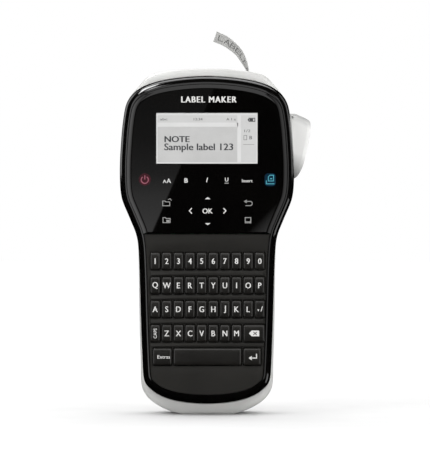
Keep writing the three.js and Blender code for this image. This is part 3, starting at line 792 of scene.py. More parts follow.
parts.append((*label_vf("A 1 x", 14.4, 175.9, 2.1, T, fit=5.6, heavy=0.06), 3))
parts.append((*label_vf("NOTE", -25.4, 164.1, 5.1, T, fit=14.6, heavy=0.16, align="LEFT"), 2))
parts.append((*label_vf("Sample label 123", -25.4, 158.9, 5.7, T, fit=40.6, heavy=0.13, align="LEFT"), 2))
# Battery symbol and the little marks down the right column.
parts.append((*strip_vf([(24.9, 174.6), (28.4, 174.6), (28.4, 176.5), (24.9, 176.5)], 0.45, T, closed=True), 2))
parts.append((*poly_vf([(25.3, 174.9), (27.4, 174.9), (27.4, 176.2), (25.3, 176.2)], T), 2))
parts.append((*poly_vf([(24.2, 175.1), (24.7, 175.1), (24.7, 176.0), (24.2, 176.0)], T), 2))
parts.append((*label_vf("1/2", 24.0, 169.0, 2.2, T, fit=3.6, heavy=0.05), 3))
parts.append((*label_vf("B", 26.0, 165.0, 3.0, T, heavy=0.1), 3))
parts.append((*strip_vf([(21.9, 163.7), (23.6, 163.7), (23.6, 166.3), (21.9, 166.3)], 0.3, T, closed=True), 3))
parts.append((*strip_vf([(21.6, 160.9), (28.0, 160.9)], 0.22, T), 3))
V, F, M_ = join_parts(parts)
lcd = make("screen_glass", V, F, [MAT_LCD, MAT_LCDFRAME, MAT_LCDINK, MAT_LCDGREY, MAT_LCDBAND], M_, smooth=False)
ride(lcd, "root")
v, f = loft([(-25.0, rrect(-34, 34, 144.4, 183.9, 1.0, 3)), (-19.6, rrect(-34, 34, 144.4, 183.9, 1.0, 3))])
mod = make("screen_module_body", v, f, MAT_FRAME, angle=30)
ride(mod, "root", ["lcd_module"])

# ------------------------------------------------------------------ printed icons
P = Y_FACE - 0.012
white, grey, red, cyan, redglow, cyanglow, bright = [], [], [], [], [], [], []


def arc(cx, cz, r, a0, a1, n=16):
    return [(cx + r * math.cos(math.radians(a0 + (a1 - a0) * k / n)), cz + r * math.sin(math.radians(a0 + (a1 - a0) * k / n))) for k in range(n + 1)]


# Power: a broken ring with a stroke at the top, on a dim round patch.
redglow.append(disc_vf(-36.8, 140.2, 3.6, P + 0.01, 32, 0.02))
red.append(strip_vf(arc(-36.8, 140.0, 2.1, 125, 415, 28), 0.62, P - 0.01))
red.append(strip_vf([(-36.8, 140.2), (-36.8, 142.7)], 0.62, P - 0.01))
# Character size: a small and a large A.
white.append(label_vf("A", -25.1, 139.1, 2.9, P, heavy=0.06))
white.append(label_vf("A", -22.6, 139.4, 3.8, P, heavy=0.08))
white.append(label_vf("B", -12.3, 139.6, 3.9, P, heavy=0.14))
white.append(label_vf("I", 0.1, 139.9, 3.9, P, heavy=0.08, shear=0.25))
white.append(label_vf("U", 11.7, 140.1, 3.3, P, heavy=0.06))
white.append(strip_vf([(10.5, 138.0), (12.9, 138.0)], 0.25, P))
white.append(label_vf("Insert", 23.9, 139.4, 2.6, P, fit=6.2, heavy=0.06))
# Print: a sheet with a folded corner over a tray line.
cyanglow.append(poly_vf(np.array(rrect(34.2, 40.8, 136.2, 143.8, 2.0, 6)), P + 0.01, 0.02))
cyan.append(strip_vf([(36.4, 139.3), (39.5, 139.3), (39.5, 142.7), (37.3, 142.7), (36.4, 141.8)], 0.42, P - 0.01, closed=True))
cyan.append(strip_vf([(37.4, 140.6), (38.7, 140.6)], 0.5, P - 0.01))
cyan.append(strip_vf([(35.2, 139.6), (35.2, 137.6), (40.0, 137.6)], 0.42, P - 0.01))
# Arrow-key cross.
white.append(poly_vf([(-1.2, 128.5), (2.2, 128.5), (0.5, 129.7)], P))
white.append(poly_vf([(-1.2, 114.3), (0.5, 113.1), (2.2, 114.3)], P))
bright.append(strip_vf([(-8.9, 123.2), (-10.4, 121.6), (-8.9, 120.0)], 0.55, P))
bright.append(strip_vf([(9.8, 123.2), (11.3, 121.6), (9.8, 120.0)], 0.55, P))
bright.append(label_vf("OK", 0.4, 121.5, 4.3, P, fit=5.9, heavy=0.09))
# Folder open, save, step back, settings card.
grey.append(strip_vf([(-26.2, 124.6), (-26.2, 127.4), (-24.8, 127.4), (-24.3, 126.9), (-22.0, 126.9), (-22.0, 124.6)], 0.42, P, closed=True))
grey.append(strip_vf([(-23.1, 128.2), (-21.8, 128.8), (-21.0, 127.7)], 0.35, P))
grey.append(strip_vf([(-26.0, 114.6), (-26.0, 117.6), (-24.6, 117.6), (-24.1, 117.1), (-21.8, 117.1), (-21.8, 114.6)], 0.42, P, closed=True))
grey.append(poly_vf([(-24.0, 114.9), (-22.2, 114.9), (-22.2, 116.3), (-24.0, 116.3)], P))
grey.append(strip_vf([(22.9, 127.2), (26.1, 127.2), (26.8, 126.4), (26.8, 125.5), (26.1, 124.7), (22.9, 124.7)], 0.42, P))
grey.append(poly_vf([(21.9, 127.2), (23.6, 128.3), (23.6, 126.1)], P))
grey.append(strip_vf([(22.7, 114.4), (22.7, 117.6), (26.0, 117.6), (26.0, 114.4)], 0.45, P, closed=True))
grey.append(poly_vf([(22.9, 114.3), (25.8, 114.3), (25.8, 115.3), (22.9, 115.3)], P))
# A plain descriptor above the screen.
bright.append(label_vf("LABEL MAKER", 1.2, 187.6, 5.2, P, fit=32.5, heavy=0.2, spacing=1.2))
parts = [(a, b, k) for k, grp in enumerate((white, grey, red, cyan, redglow, cyanglow, bright)) for a, b in grp if len(a)]
V, F, M_ = join_parts(parts)
icons = make("printed_icons", V, F, [MAT_ICON, MAT_GREYPRINT, MAT_RED, MAT_CYAN, MAT_REDGLOW, MAT_CYANGLOW, MAT_WHITE], M_, smooth=False)
ride(icons, "root")

# ------------------------------------------------------------------ rear shell
RB = blend0 = None


def mixl(a, b, t):
    return a + (b - a) * t


Y0 = Y_PART + 0.3
h_idx = np.where(S[:, 1] > 99)[0]


def head_blend(y):
    """Outline of the silver shell: the whole body's outline, the same at every depth. y is not used."""
    return S


# Main body: the flare behind the parting line, then straight, then a rounded back.
layers = [
    (Y0, inset(B, 0.45)),
    (Y0 + 0.02, inset(B, 0.12)),
    (Y0 + 0.25, mixl(B, S, 0.2)),
    (Y0 + 0.7, mixl(B, S, 0.48)),
    (Y0 + 1.3, mixl(B, S, 0.72)),
    (Y0 + 2.1, mixl(B, S, 0.9)),
    (-10.3, mixl(B, S, 0.985)),
    (-9.6, S),
    (0, S),
    (9.6, S),
]
for k in range(1, 9):
    a = math.radians(90 * k / 8)
    layers.append((9.6 + 6.4 * math.sin(a), inset(S, 7.0 * (1 - math.cos(a)))))
v, f = loft(layers, cap0=True, cap1=True)
rear = make("rear_shell", v, f, [MAT_SILVER, MAT_SILVER_DARK], smooth=False)


def head_ring(e, zb, y):
    q = inset(S, e)
    run = q[h_run]
    xr, n = float(np.interp(zb + 6, q[: N // 2 - 4, 1], q[: N // 2 - 4, 0])), 20
    a = np.linspace(-1, 1, n)
    xs = a * (xr - 1.5)
    zs = zb + 5.5 * np.abs(a) ** 6
    return (y, np.vstack([np.stack([xs, zs], 1), run]))


h_run = np.where(S[:, 1] > 116)[0]
hl = [head_ring(0.12, 97.5, 8.8), head_ring(0.12, 98.0, 12), head_ring(0.25, 99.2, 15.5), head_ring(0.9, 101.0, 18.6)]
for k in range(1, 9):
    a = math.radians(90 * k / 8)
    hl.append(head_ring(0.9 + 8.6 * (1 - math.cos(a)), 101.0 + 6 * (1 - math.cos(a)), 18.6 + 8.4 * math.sin(a)))
v, f = loft(hl)
hb = make("cutter", v, f, MAT_SILVER, smooth=False)
boolean(rear, [hb], "UNION")
# Inside space, mouths, lever window, tape slot.
v, f = loft([(-16, inset(B, 3.2)), (Y0, inset(B, 2.9)), (Y0 + 0.7, inset(mixl(B, S, 0.48), 2.8)), (Y0 + 1.8, inset(mixl(B, S, 0.86), 2.7)), (-10, inset(S, 2.5)), (10, inset(S, 2.4)), (13.2, inset(S, 5.5))])
c1 = make("cutter", v, f, MAT_SILVER_DARK, smooth=False)
v, f = loft([head_ring(2.8, 99.5, 6), head_ring(3.8, 103.5, 18.5), head_ring(8, 106, 23.6)])
c2 = make("cutter", v, f, MAT_SILVER_DARK, smooth=False)


def cutter(loop, y0, y1, m=None):
    v, f = loft([(y0, loop), (y1, loop)])
    return make("cutter", v, f, m or MAT_SILVER, smooth=False)


boolean(rear, [c1, c2])
cut2 = [
    cutter(rrect(-24.2, 24.2, 28.4, 88, 3, 5), 10, 20),
    cutter(rrect(-27.3, 27.3, 15.0, 92.3, 1.6, 5), 14.3, 20),
    cutter(rrect(-30.4, 31.4, 121.4, 183.6, 2, 5), 20, 30),
    cutter(rrect(-33.3, 33.3, 118.7, 186.3, 1.8, 5), 25.0, 30),
    cut_box(24.0, 26.2, 6, 20, 190, 212, m=MAT_SILVER),
    cut_box(40, 60, -9.5, 9.5, 139.9, 182.3, m=MAT_SILVER),
    cut_box(-60, -44, -17.8, -9.9, 134.6, 144.2, m=MAT_SILVER),
]
boolean(rear, cut2)
rear.data.shade_smooth()
sharpen(rear, 28)
ride(rear, "root", ["rear_housing"])

# The rim's own socket mouths.
sock = [cut_box(-60, -44, -17.8, -9.9, 134.6, 144.2), cut_box(-60, -44, -17.8, -13.6, 150.6, 159.6)]
boolean(rim, sock)
rim.data.shade_smooth()
sharpen(rim, 30)
ride(rim, "root", ["front_housing"])

# ------------------------------------------------------------------ plain materials for the rest of the CAD
looks = {
    "mid_frame": MAT_FRAME, "print_head": MAT_STEEL, "drive_motor": MAT_STEEL, "motor_pinion": MAT_STEEL,
    "idler_gear": MAT_GEAR, "platen_roller": MAT_GEAR, "cutter_blade": MAT_STEEL,
}
for n, m in looks.items():
    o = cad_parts[n]
    o.data.materials.clear()
    o.data.materials.append(m)

# ------------------------------------------------------------------ cutter lever


def crom(pts, per=6, closed=False):
    """Centripetal Catmull-Rom through points of any dimension."""
    p = [np.array(q, float) for q in pts]
    n = len(p)
    out = []
    for i in range(n if closed else n - 1):
        b, c = p[i], p[(i + 1) % n]
        a = p[i - 1] if (closed or i) else 2 * b - c
        d = p[(i + 2) % n] if (closed or i + 2 < n) else 2 * c - b
        t1 = max(1e-6, np.linalg.norm(b - a)) ** 0.5
        t2 = t1 + max(1e-6, np.linalg.norm(c - b)) ** 0.5
        t3 = t2 + max(1e-6, np.linalg.norm(d - c)) ** 0.5
        for k in range(per):
            t = t1 + (t2 - t1) * k / per
            a1 = a * (t1 - t) / t1 + b * t / t1
            a2 = b * (t2 - t) / (t2 - t1) + c * (t - t1) / (t2 - t1)
            a3 = c * (t3 - t) / (t3 - t2) + d * (t - t2) / (t3 - t2)
            b1 = a1 * (t2 - t) / t2 + a2 * t / t2
            b2 = a2 * (t3 - t) / (t3 - t1) + a3 * (t - t1) / (t3 - t1)
            out.append(b1 * (t2 - t) / (t2 - t1) + b2 * (t - t1) / (t2 - t1))
    if not closed:
        out.append(p[-1])
    return np.array(out)


def even(loop, n):
    """The closed loop resampled to n evenly spaced points."""
    q = np.vstack([loop, loop[:1]])
    s = np.r_[0, np.cumsum(np.linalg.norm(np.diff(q, axis=0), axis=1))]
    t = np.linspace(0, s[-1], n, endpoint=False)
    return np.stack([np.interp(t, s, q[:, k]) for k in range(q.shape[1])], 1)


def as_axis(vf, axis):
    """Turns a loft made along Y into one along X or Z."""
    v, f = vf[0], vf[1]
    if axis == "X":
        return [(y, x, z) for x, y, z in v], f
    if axis == "Z":
        return [(x, z, y) for x, y, z in v], f
    return v, f


def solid_piece(name, vf, mats, idx=None, angle=35, bev=0.0, seg=2, cuts=(), joins=()):
    """A closed piece with its cuts and joins made, its edges rounded and its faces turned outward."""
    o = make(name, vf[0], vf[1], mats, idx, smooth=False)
    clean(o)
    for op, group in (("UNION", joins), ("DIFFERENCE", cuts)):
        cs = []
        for c in group:
            q = make("cutter", c[0], c[1], mats, smooth=False)
            clean(q)
            cs.append(q)
        if cs:
            boolean(o, cs, op)
    if bev:
        bevel(o, bev, seg, 40)
    o.data.shade_smooth()
    sharpen(o, angle)
    return o


def box_at(x0, x1, y0, y1, z0, z1):
    return box_vf(x0, x1, y0, y1, z0, z1)




def lever_material():
    """Pearl white, with painted shade: greyer along its top edge and towards its foot."""
    m, nt, bs = new_mat("lever_pearl_painted_shade")
    tc = nt.nodes.new("ShaderNodeTexCoord")
    sp = nt.nodes.new("ShaderNodeSeparateXYZ")
    nt.links.new(tc.outputs["Object"], sp.inputs[0])

    def lin(a, b, c):
        """a*x + b*z + c, in metres."""
        m1 = nt.nodes.new("ShaderNodeMath")
        m1.operation, m1.inputs[1].default_value = "MULTIPLY", a
        nt.links.new(sp.outputs["X"], m1.inputs[0])
        m2 = nt.nodes.new("ShaderNodeMath")
        m2.operation, m2.inputs[1].default_value, m2.inputs[2].default_value = "MULTIPLY_ADD", b, c
        nt.links.new(sp.outputs["Z"], m2.inputs[0])
        m3 = nt.nodes.new("ShaderNodeMath")
        m3.operation = "ADD"
        nt.links.new(m1.outputs[0], m3.inputs[0])
        nt.links.new(m2.outputs[0], m3.inputs[1])
        return m3.outputs[0]

    # Painted shade along the top edge: 0 at s = 181.0, 1 at s = 184.4 (millimetres along the slope of the top edge).
    top = ramp(nt, lin(0.45 / 0.0046, 0.89 / 0.0046, -0.1798 / 0.0046), 0.0, 1.0, 1.0, 0.34)
    e = top.color_ramp.elements.new(0.35)
    e.color = (0.86, 0.86, 0.86, 1)
    # Painted shade towards the foot: darker lower down.
    foot = ramp(nt, lin(0.25 / 0.014, 1 / 0.014, -0.1555 / 0.014), 0.0, 1.0, 0.22, 1.0)
    mul = nt.nodes.new("ShaderNodeMath")
    mul.operation = "MULTIPLY"
    nt.links.new(top.outputs[0], mul.inputs[0])
    nt.links.new(foot.outputs[0], mul.inputs[1])
    slow = noise(nt, 45, 2.0)
    drift = ramp(nt, slow.outputs["Fac"], 0.3, 0.7, (0.82, 0.82, 0.808), (0.87, 0.87, 0.858))
    mix = nt.nodes.new("ShaderNodeMix")
    mix.data_type, mix.blend_type = "RGBA", "MULTIPLY"
    mix.inputs[0].default_value = 1.0
    nt.links.new(drift.outputs[0], mix.inputs[6])
    nt.links.new(mul.outputs[0], mix.inputs[7])
    nt.links.new(mix.outputs[2], bs.inputs["Base Color"])
    fine = noise(nt, 3000, 3.0)
    nt.links.new(ramp(nt, fine.outputs["Fac"], 0.3, 0.7, 0.28, 0.36).outputs[0], bs.inputs["Roughness"])
    bump(nt, bs, fine.outputs["Fac"], 0.08, 0.00003)
    return m


MAT_LEVER_PAINTED_SHADE = lever_material()
LEVER_OUT = [
    (48.15, 141.6), (50.95, 140.7), (53.95, 142.3), (57.35, 148.1), (59.75, 157.1), (61.35, 164.7),
    (62.15, 170.7), (62.25, 174.1), (61.45, 175.9), (53.15, 180.1), (49.35, 180.3),
]
LEVER_IN = [
    (44.0, 146.3), (51.55, 145.3), (54.95, 151.1), (57.35, 159.1), (58.95, 166.3), (59.75, 171.3),
    (59.55, 173.7), (52.15, 177.5), (44.0, 177.7),
]
outer = crom(LEVER_OUT[1:-1], 8)
outer = np.vstack([outer, [LEVER_OUT[-1]], [LEVER_OUT[0]]])
outer = even(outer, 150)
for _ in range(3):
    outer = 0.5 * outer + 0.25 * (np.roll(outer, 1, 0) + np.roll(outer, -1, 0))
lay = []
# A flat face, a narrow step down round it, and a rounded outer edge.
lay.append((-9.0, inset(outer, 2.6, 4)))
lay.append((-9.0, inset(outer, 1.75, 4)))
lay.append((-8.93, inset(outer, 1.6, 4)))
lay.append((-8.84, inset(outer, 1.5, 4)))
lay.append((-8.80, inset(outer, 1.35, 4)))
for k in range(0, 6):
    a = math.radians(90 * k / 5)
    lay.append((-8.78 + 1.2 * (1 - math.cos(a)), inset(outer, 1.2 * (1 - math.sin(a)), 4)))
lay.append((0.0, outer))
for k in range(0, 6):
    a = math.radians(90 * k / 5)
    lay.append((7.6 + 1.4 * math.sin(a), inset(outer, 1.4 * (1 - math.cos(a)), 4)))
v, f = loft(lay)


def lever_face(x, y, z):
    """The lower end of the lever's front curves away."""
    if y < 0 and z < 156:
        t = (156 - z) / 15.5
        y = y + 2.3 * t ** 1.7 * min(1.0, -y / 7.0)
    return (x, y, z)


v = [lever_face(*q) for q in v]
inner_l = even(crom(LEVER_IN, 6), 90)
lever = solid_piece(
    "cutter_lever_shell", (v, f), MAT_LEVER_PAINTED_SHADE, angle=42,
    cuts=[loft([(-7.3, inner_l), (7.4, inner_l)])],
)
ride(lever, "cutter_lever", ["cutter_lever"])
rib = solid_piece("cutter_lever_rib", box_at(47.95, 59.4, -1.2, 2.8, 170.1, 173.1), MAT_LEVER, bev=0.35,
                  joins=[box_at(44.3, 48.95, -1.2, 2.8, 170.1, 177.7)])
ride(rib, "cutter_lever")
# Hinge pin and return spring at the lever's foot.
pin = [loft([(-9.3, circ(49.95, 143.3, 0.75, 24)), (-9.1, circ(49.95, 143.3, 1.0, 24)), (9.1, circ(49.95, 143.3, 1.0, 24)), (9.3, circ(49.95, 143.3, 0.75, 24))])]
V, F, M_ = join_parts(pin)
pn = make("lever_hinge_pin", V, F, MAT_STEEL, angle=40)
clean(pn)
ride(pn, "root")


def wire_vf(path, r, seg=8):
    """A round wire along 3-D points in millimetres."""
    p = np.array(path, float)
    n = len(p)
    t = np.gradient(p, axis=0)
    t /= np.linalg.norm(t, axis=1)[:, None]
    up = np.array([0, 0, 1.0]) if abs(t[0][2]) < 0.9 else np.array([1.0, 0, 0])
    u = np.cross(t[0], up)
    u /= np.linalg.norm(u)
    v, f = [], []
    for i in range(n):
        u = u - t[i] * (u @ t[i])
        u /= np.linalg.norm(u)
        w = np.cross(t[i], u)
        for k in range(seg):
            a = 2 * math.pi * k / seg
            v.append(tuple(p[i] + r * (math.cos(a) * u + math.sin(a) * w)))
    for i in range(n - 1):
        for k in range(seg):
            j = (k + 1) % seg
            f.append((i * seg + k, i * seg + j, (i + 1) * seg + j, (i + 1) * seg + k))
    f.append(tuple(reversed(range(seg))))
    f.append(tuple(range((n - 1) * seg, n * seg)))
    return v, f


coil = [(49.95 + 1.55 * math.cos(a), 3.2 + 3.2 * a / (2 * math.pi * 5), 143.3 + 1.55 * math.sin(a)) for a in np.linspace(0, 2 * math.pi * 5, 90)]
coil = [(46.6, 3.2, 147.6)] + coil
coil_v, coil_f = wire_vf(coil, 0.24, 6)
sp = make("lever_return_spring", coil_v, coil_f, MAT_STEEL, angle=60)
clean(sp)
ride(sp, "root")

# ------------------------------------------------------------------ label strip
MAT_PRINT = plastic("label_print", (0.20, 0.20, 0.197), (0.25, 0.25, 0.246), 0.35, 0.5, 2500, 0.05, 0.00001, tone=300)
STRIP = [
    (18.9, 154.6, 0), (21.4, 158.4, 0), (23.6, 162.2, 0), (24.9, 166, 0), (25.1, 172, 0), (25.1, 180, 0), (25.1, 190, 0),
    (25.2, 198, 0), (25.4, 205.1, 2), (24.4, 209.2, 8), (22.5, 213.5, 15), (19.6, 218.4, 20), (15.5, 222.4, 24),
    (10.5, 225.9, 27), (4.9, 228.3, 29),
]
sc = crom([(a * 1.0, b * 1.0, c * 0.35) for a, b, c in STRIP], 8)
sx_, sz_, lean_ = sc[:, 0], sc[:, 1], sc[:, 2] / 0.35
arc_s = np.r_[0, np.cumsum(np.hypot(np.diff(sx_), np.diff(sz_)))]


def strip_frame(s):
    x, z, lean = (np.interp(s, arc_s, q) for q in (sx_, sz_, lean_))
    e = 0.5
    t = np.array([np.interp(s + e, arc_s, sx_) - np.interp(s - e, arc_s, sx_), 0, np.interp(s + e, arc_s, sz_) - np.interp(s - e, arc_s, sz_)])
    t /= np.linalg.norm(t)
    a = math.radians(lean)
    d0 = np.array([0, 1.0, 0])
    d = d0 * math.cos(a) + np.cross(t, d0) * math.sin(a) + t * (t @ d0) * (1 - math.cos(a))
    return np.array([x, 13.0, z]), t, d, np.cross(t, d)


def on_strip(s, w, h):
    """The point at arc length s, w across the strip and h above its printed side."""
    p, t, d, nn = strip_frame(s)
    cup = 0.35 * (1 - (w / 6.0) ** 2) * min(1.0, max(0.0, (s - 52) / 20))
    return tuple(p + d * w - nn * (h + cup - 0.12))


ss = np.linspace(0, arc_s[-1], 110)
ws = np.linspace(-6, 6, 9)
v, f = [], []
for h in (0.0, -0.2):
    for s in ss:
        for wv in ws:
            v.append(on_strip(s, wv, h))
nw, ns = len(ws), len(ss)
for i in range(ns - 1):
    for j in range(nw - 1):
        a = i * nw + j
        f.append((a, a + 1, a + 1 + nw, a + nw))
        b = a + ns * nw
        f.append((b, b + nw, b + nw + 1, b + 1))
for i in range(ns - 1):
    for j in (0, nw - 1):
        a = i * nw + j
        f.append((a, a + nw, a + nw + ns * nw, a + ns * nw))
for j in range(nw - 1):
    for i in (0, ns - 1):
        a = i * nw + j
        f.append((a, a + 1, a + 1 + ns * nw, a + ns * nw))
tape = make("label_strip", v, f, MAT_TAPE, angle=50)
clean(tape)
ride(tape, "root", ["label_tape"])
# Block capitals printed along the strip.
GLYPH = {
    "L": [[(0, 1), (0, 0), (0.62, 0)]],
    "A": [[(0, 0), (0.36, 1), (0.72, 0)], [(0.13, 0.34), (0.59, 0.34)]],
    "B": [[(0, 0), (0, 1), (0.45, 1), (0.6, 0.86), (0.6, 0.66), (0.45, 0.53), (0, 0.53)], [(0.45, 0.53), (0.66, 0.38), (0.66, 0.15), (0.5, 0), (0, 0)]],
    "E": [[(0.62, 1), (0, 1), (0, 0), (0.62, 0)], [(0, 0.52), (0.5, 0.52)]],
}
marks = []


def stroke(points, width):
    """A printed stroke through (s, w) points, cut finely enough to follow the strip's curve."""
    for (s0, w0), (s1, w1) in zip(points[:-1], points[1:]):
        lift = 0.006 * (len(marks) % 7)
        ln = math.hypot(s1 - s0, w1 - w0)
        us, uw = (s1 - s0) / ln, (w1 - w0) / ln
        s0b, w0b, s1b, w1b = s0 - us * width / 2, w0 - uw * width / 2, s1 + us * width / 2, w1 + uw * width / 2
        n = max(2, int(math.ceil(ln / 0.6)))
        vv, ff = [], []
        for k in range(n + 1):
            t = k / n
            cs, cw = s0b + (s1b - s0b) * t, w0b + (w1b - w0b) * t
            for side in (1, -1):
                for h in (-0.235 - lift, -0.19):
                    vv.append(on_strip(cs - uw * side * width / 2, cw + us * side * width / 2, h))
        for k in range(n):
            a = 4 * k
            for q in ((0, 1, 5, 4), (1, 3, 7, 5), (3, 2, 6, 7), (2, 0, 4, 6)):
                ff.append(tuple(a + i for i in q))
        ff.append((0, 2, 3, 1))
        ff.append((4 * n, 4 * n + 1, 4 * n + 3, 4 * n + 2))
        marks.append((vv, ff))


s_at = arc_s[-1] - 2.4
for ch in "LABELLABE":
    for line_ in GLYPH[ch]:
        # Reading direction runs from the free end back towards the slot.
        stroke([(s_at - px * 4.4, 2.6 - pz * 5.4) for px, pz in line_], 0.66)
    s_at -= 4.3
    if s_at < arc_s[-1] - 34:
        break
V, F, M_ = join_parts(marks)
pr = make("label_printing", V, F, MAT_PRINT, smooth=False)
clean(pr)
ride(pr, "root")

# ------------------------------------------------------------------ rear shell fittings
SCREWS = [(-20.5, 10.9, 16.0), (20.5, 10.9, 16.0), (-37.6, 127.0, 27.0), (37.6, 127.0, 27.0), (-37.6, 176.0, 27.0), (37.6, 176.0, 27.0)]
rec = []
for sx0, sz0, sy0 in SCREWS:
    rec.append(cutter(circ(sx0, sz0, 2.35, 36), sy0 - 1.5, sy0 + 2))
rec.append(cutter(rrect(-25, 25, 108.8, 116.6, 1.2, 5), 26.72, 29))
boolean(rear, rec)
rear.data.shade_smooth()
sharpen(rear, 28)
heads = []
for sx0, sz0, sy0 in SCREWS:
    y1 = sy0 - 0.45
    heads.append(loft([(y1 - 1.0, circ(sx0, sz0, 2.0, 32)), (y1 - 0.35, circ(sx0, sz0, 2.0, 32)), (y1 - 0.1, circ(sx0, sz0, 1.75, 32)), (y1, circ(sx0, sz0, 1.3, 32))]))
V, F, M_ = join_parts(heads)
cross = []
for sx0, sz0, sy0 in SCREWS:
    y1 = sy0 - 0.45
    cross.append(box_at(sx0 - 1.15, sx0 + 1.15, y1 - 0.6, y1 + 0.5, sz0 - 0.24, sz0 + 0.24))
    cross.append(box_at(sx0 - 0.24, sx0 + 0.24, y1 - 0.6, y1 + 0.5, sz0 - 1.15, sz0 + 1.15))
sh = make("housing_screws", V, F, MAT_STEEL, smooth=False)
clean(sh)
for k in (0, 1):
    cc = [make("cutter", *q, MAT_STEEL, smooth=False) for q in cross[k::2]]
    Vc, Fc, _ = join_parts(cross[k::2])
    for q in cc:
        bpy.data.objects.remove(q)
    q = make("cutter", Vc, Fc, MAT_STEEL, smooth=False)
    clean(q)
    boolean(sh, [q])
sh.data.shade_smooth()
sharpen(sh, 35)
ride(sh, "root")
lb = solid_piece("blank_rating_plate", loft([(26.70, rrect(-24.7, 24.7, 109.1, 116.3, 1.0, 5)), (26.9, rrect(-24.7, 24.7, 109.1, 116.3, 1.0, 5))]), MAT_CREAM, bev=0.05)
ride(lb, "root")

# ------------------------------------------------------------------ battery door
def plate_door(name, body, x0, x1, z0, z1, ya, yb, r, extra_cuts=(), extra_joins=(), replaces=()):
    lay = [(ya, rrect(x0 + 0.3, x1 - 0.3, z0 + 0.3, z1 - 0.3, r, 6)), (ya + 0.2, rrect(x0, x1, z0, z1, r, 6))]
    for k in range(0, 6):
        a = math.radians(90 * k / 5)
        d = 0.55 * (1 - math.cos(a))
        lay.append((yb - 0.55 + 0.55 * math.sin(a), rrect(x0 + d, x1 - d, z0 + d, z1 - d, r, 6)))
    o = solid_piece(name, loft(lay), MAT_SILVER, angle=32, cuts=extra_cuts, joins=extra_joins)
    ride(o, body, replaces)
    return o


grip = []
for k in range(6):
    zc = 80.5 + k * 1.7
    grip.append(loft([(15.55, rrect(-8.5 + 0.25 * k, 8.5 - 0.25 * k, zc - 0.42, zc + 0.42, 0.4, 4)), (17, rrect(-8.9 + 0.25 * k, 8.9 - 0.25 * k, zc - 0.6, zc + 0.6, 0.5, 4))]))
grip.append(loft([(15.65, np.array([(-3.0, 76.6), (0, 73.4), (3.0, 76.6)])), (17, np.array([(-3.2, 76.7), (0, 73.2), (3.2, 76.7)]))]))
plate_door("battery_door_cover", "battery_door", -27, 27, 24, 92, 14.6, 16.0, 1.6, extra_cuts=grip, replaces=["battery_door"])

# ------------------------------------------------------------------ cassette door
rec = [loft([(26.0, even(crom([(-9, 186.4), (-7.5, 182.2), (0, 180.2), (7.5, 182.2), (9, 186.4)], 8), 60)), (28, even(crom([(-9.6, 186.9), (-8.0, 182.0), (0, 179.7), (8.0, 182.0), (9.6, 186.9)], 8), 60))])]
for zc in (130.0, 133.0, 136.0):
    rec.append(loft([(26.75, rrect(-24, 24, zc - 0.3, zc + 0.3, 0.28, 4)), (28, rrect(-24.2, 24.2, zc - 0.5, zc + 0.5, 0.45, 4))]))
plate_door("cassette_door_cover", "cassette_door", -33, 33, 119, 186, 25.3, 27.0, 1.8, extra_cuts=rec, replaces=["cassette_door"])
parts = []
for xc in (-21, 21):
    parts.append(box_at(xc - 3.2, xc + 3.2, 23.4, 25.45, 181.7, 182.9))
    parts.append(box_at(xc - 3.2, xc + 3.2, 23.4, 24.2, 182.6, 183.3))
for xc in (-24, 24):
    parts.append(box_at(xc - 3.0, xc + 3.0, 24.3, 25.45, 121.9, 124.4))
V, F, M_ = join_parts(parts)
lt = make("cassette_door_latches", V, F, MAT_SILVER, smooth=False)
clean(lt)
bevel(lt, 0.2, 2, 40)
ride(lt, "cassette_door")

# ------------------------------------------------------------------ battery pack
bp = solid_piece("battery_pack_body", loft([(-0.6, rrect(-23.6, 23.6, 29, 87.4, 3.2, 8)), (13.8, rrect(-23.6, 23.6, 29, 87.4, 3.2, 8))]), MAT_BATT, bev=1.4, seg=4)
ride(bp, "root", ["battery_pack"])
bl = solid_piece("battery_pack_label", loft([(13.70, rrect(-18, 18, 38, 80, 1.5, 5)), (13.9, rrect(-18, 18, 38, 80, 1.5, 5))]), MAT_CREAM, bev=0.05)
ride(bl, "root")
parts = [box_at(xc - 2.2, xc + 2.2, 4.0, 9.0, 87.2, 87.75) for xc in (-9, 0, 9)]
V, F, M_ = join_parts(parts)
bc = make("battery_contacts", V, F, MAT_GOLD, smooth=False)
clean(bc)
bevel(bc, 0.12, 2, 40)
ride(bc, "root")

# ------------------------------------------------------------------ tape cassette
CAS = [
    (-32.4, 126), (-26, 120.8), (12, 120.8), (18.4, 126), (18.4, 146.6), (22.6, 147.4), (22.6, 150.4), (18.4, 153.4),
    (18.4, 180), (12, 185), (-26, 185), (-32.4, 180),
]


def chamfered(pts, r, seg=4):
    """The polygon with each corner rounded to about r."""
    p = [np.array(q, float) for q in pts]
    out = []
    n = len(p)
    for i in range(n):
        a, b, c = p[i - 1], p[i], p[(i + 1) % n]
        ra = min(r, 0.4 * np.linalg.norm(a - b), 0.4 * np.linalg.norm(c - b))
        s0, s1 = b + (a - b) / np.linalg.norm(a - b) * ra, b + (c - b) / np.linalg.norm(c - b) * ra
        for k in range(seg + 1):
            t = k / seg
            out.append((1 - t) ** 2 * s0 + 2 * t * (1 - t) * b + t * t * s1)
    return np.array(out)


cas = chamfered(CAS, 2.2)


def ring_cut(cx, cz, r0, r1, y0, y1, teeth=6):
    out = []
    a = circ(cx, cz, r0, 48)
    out.append(loft([(y0, a), (y1, a)]))
    return out


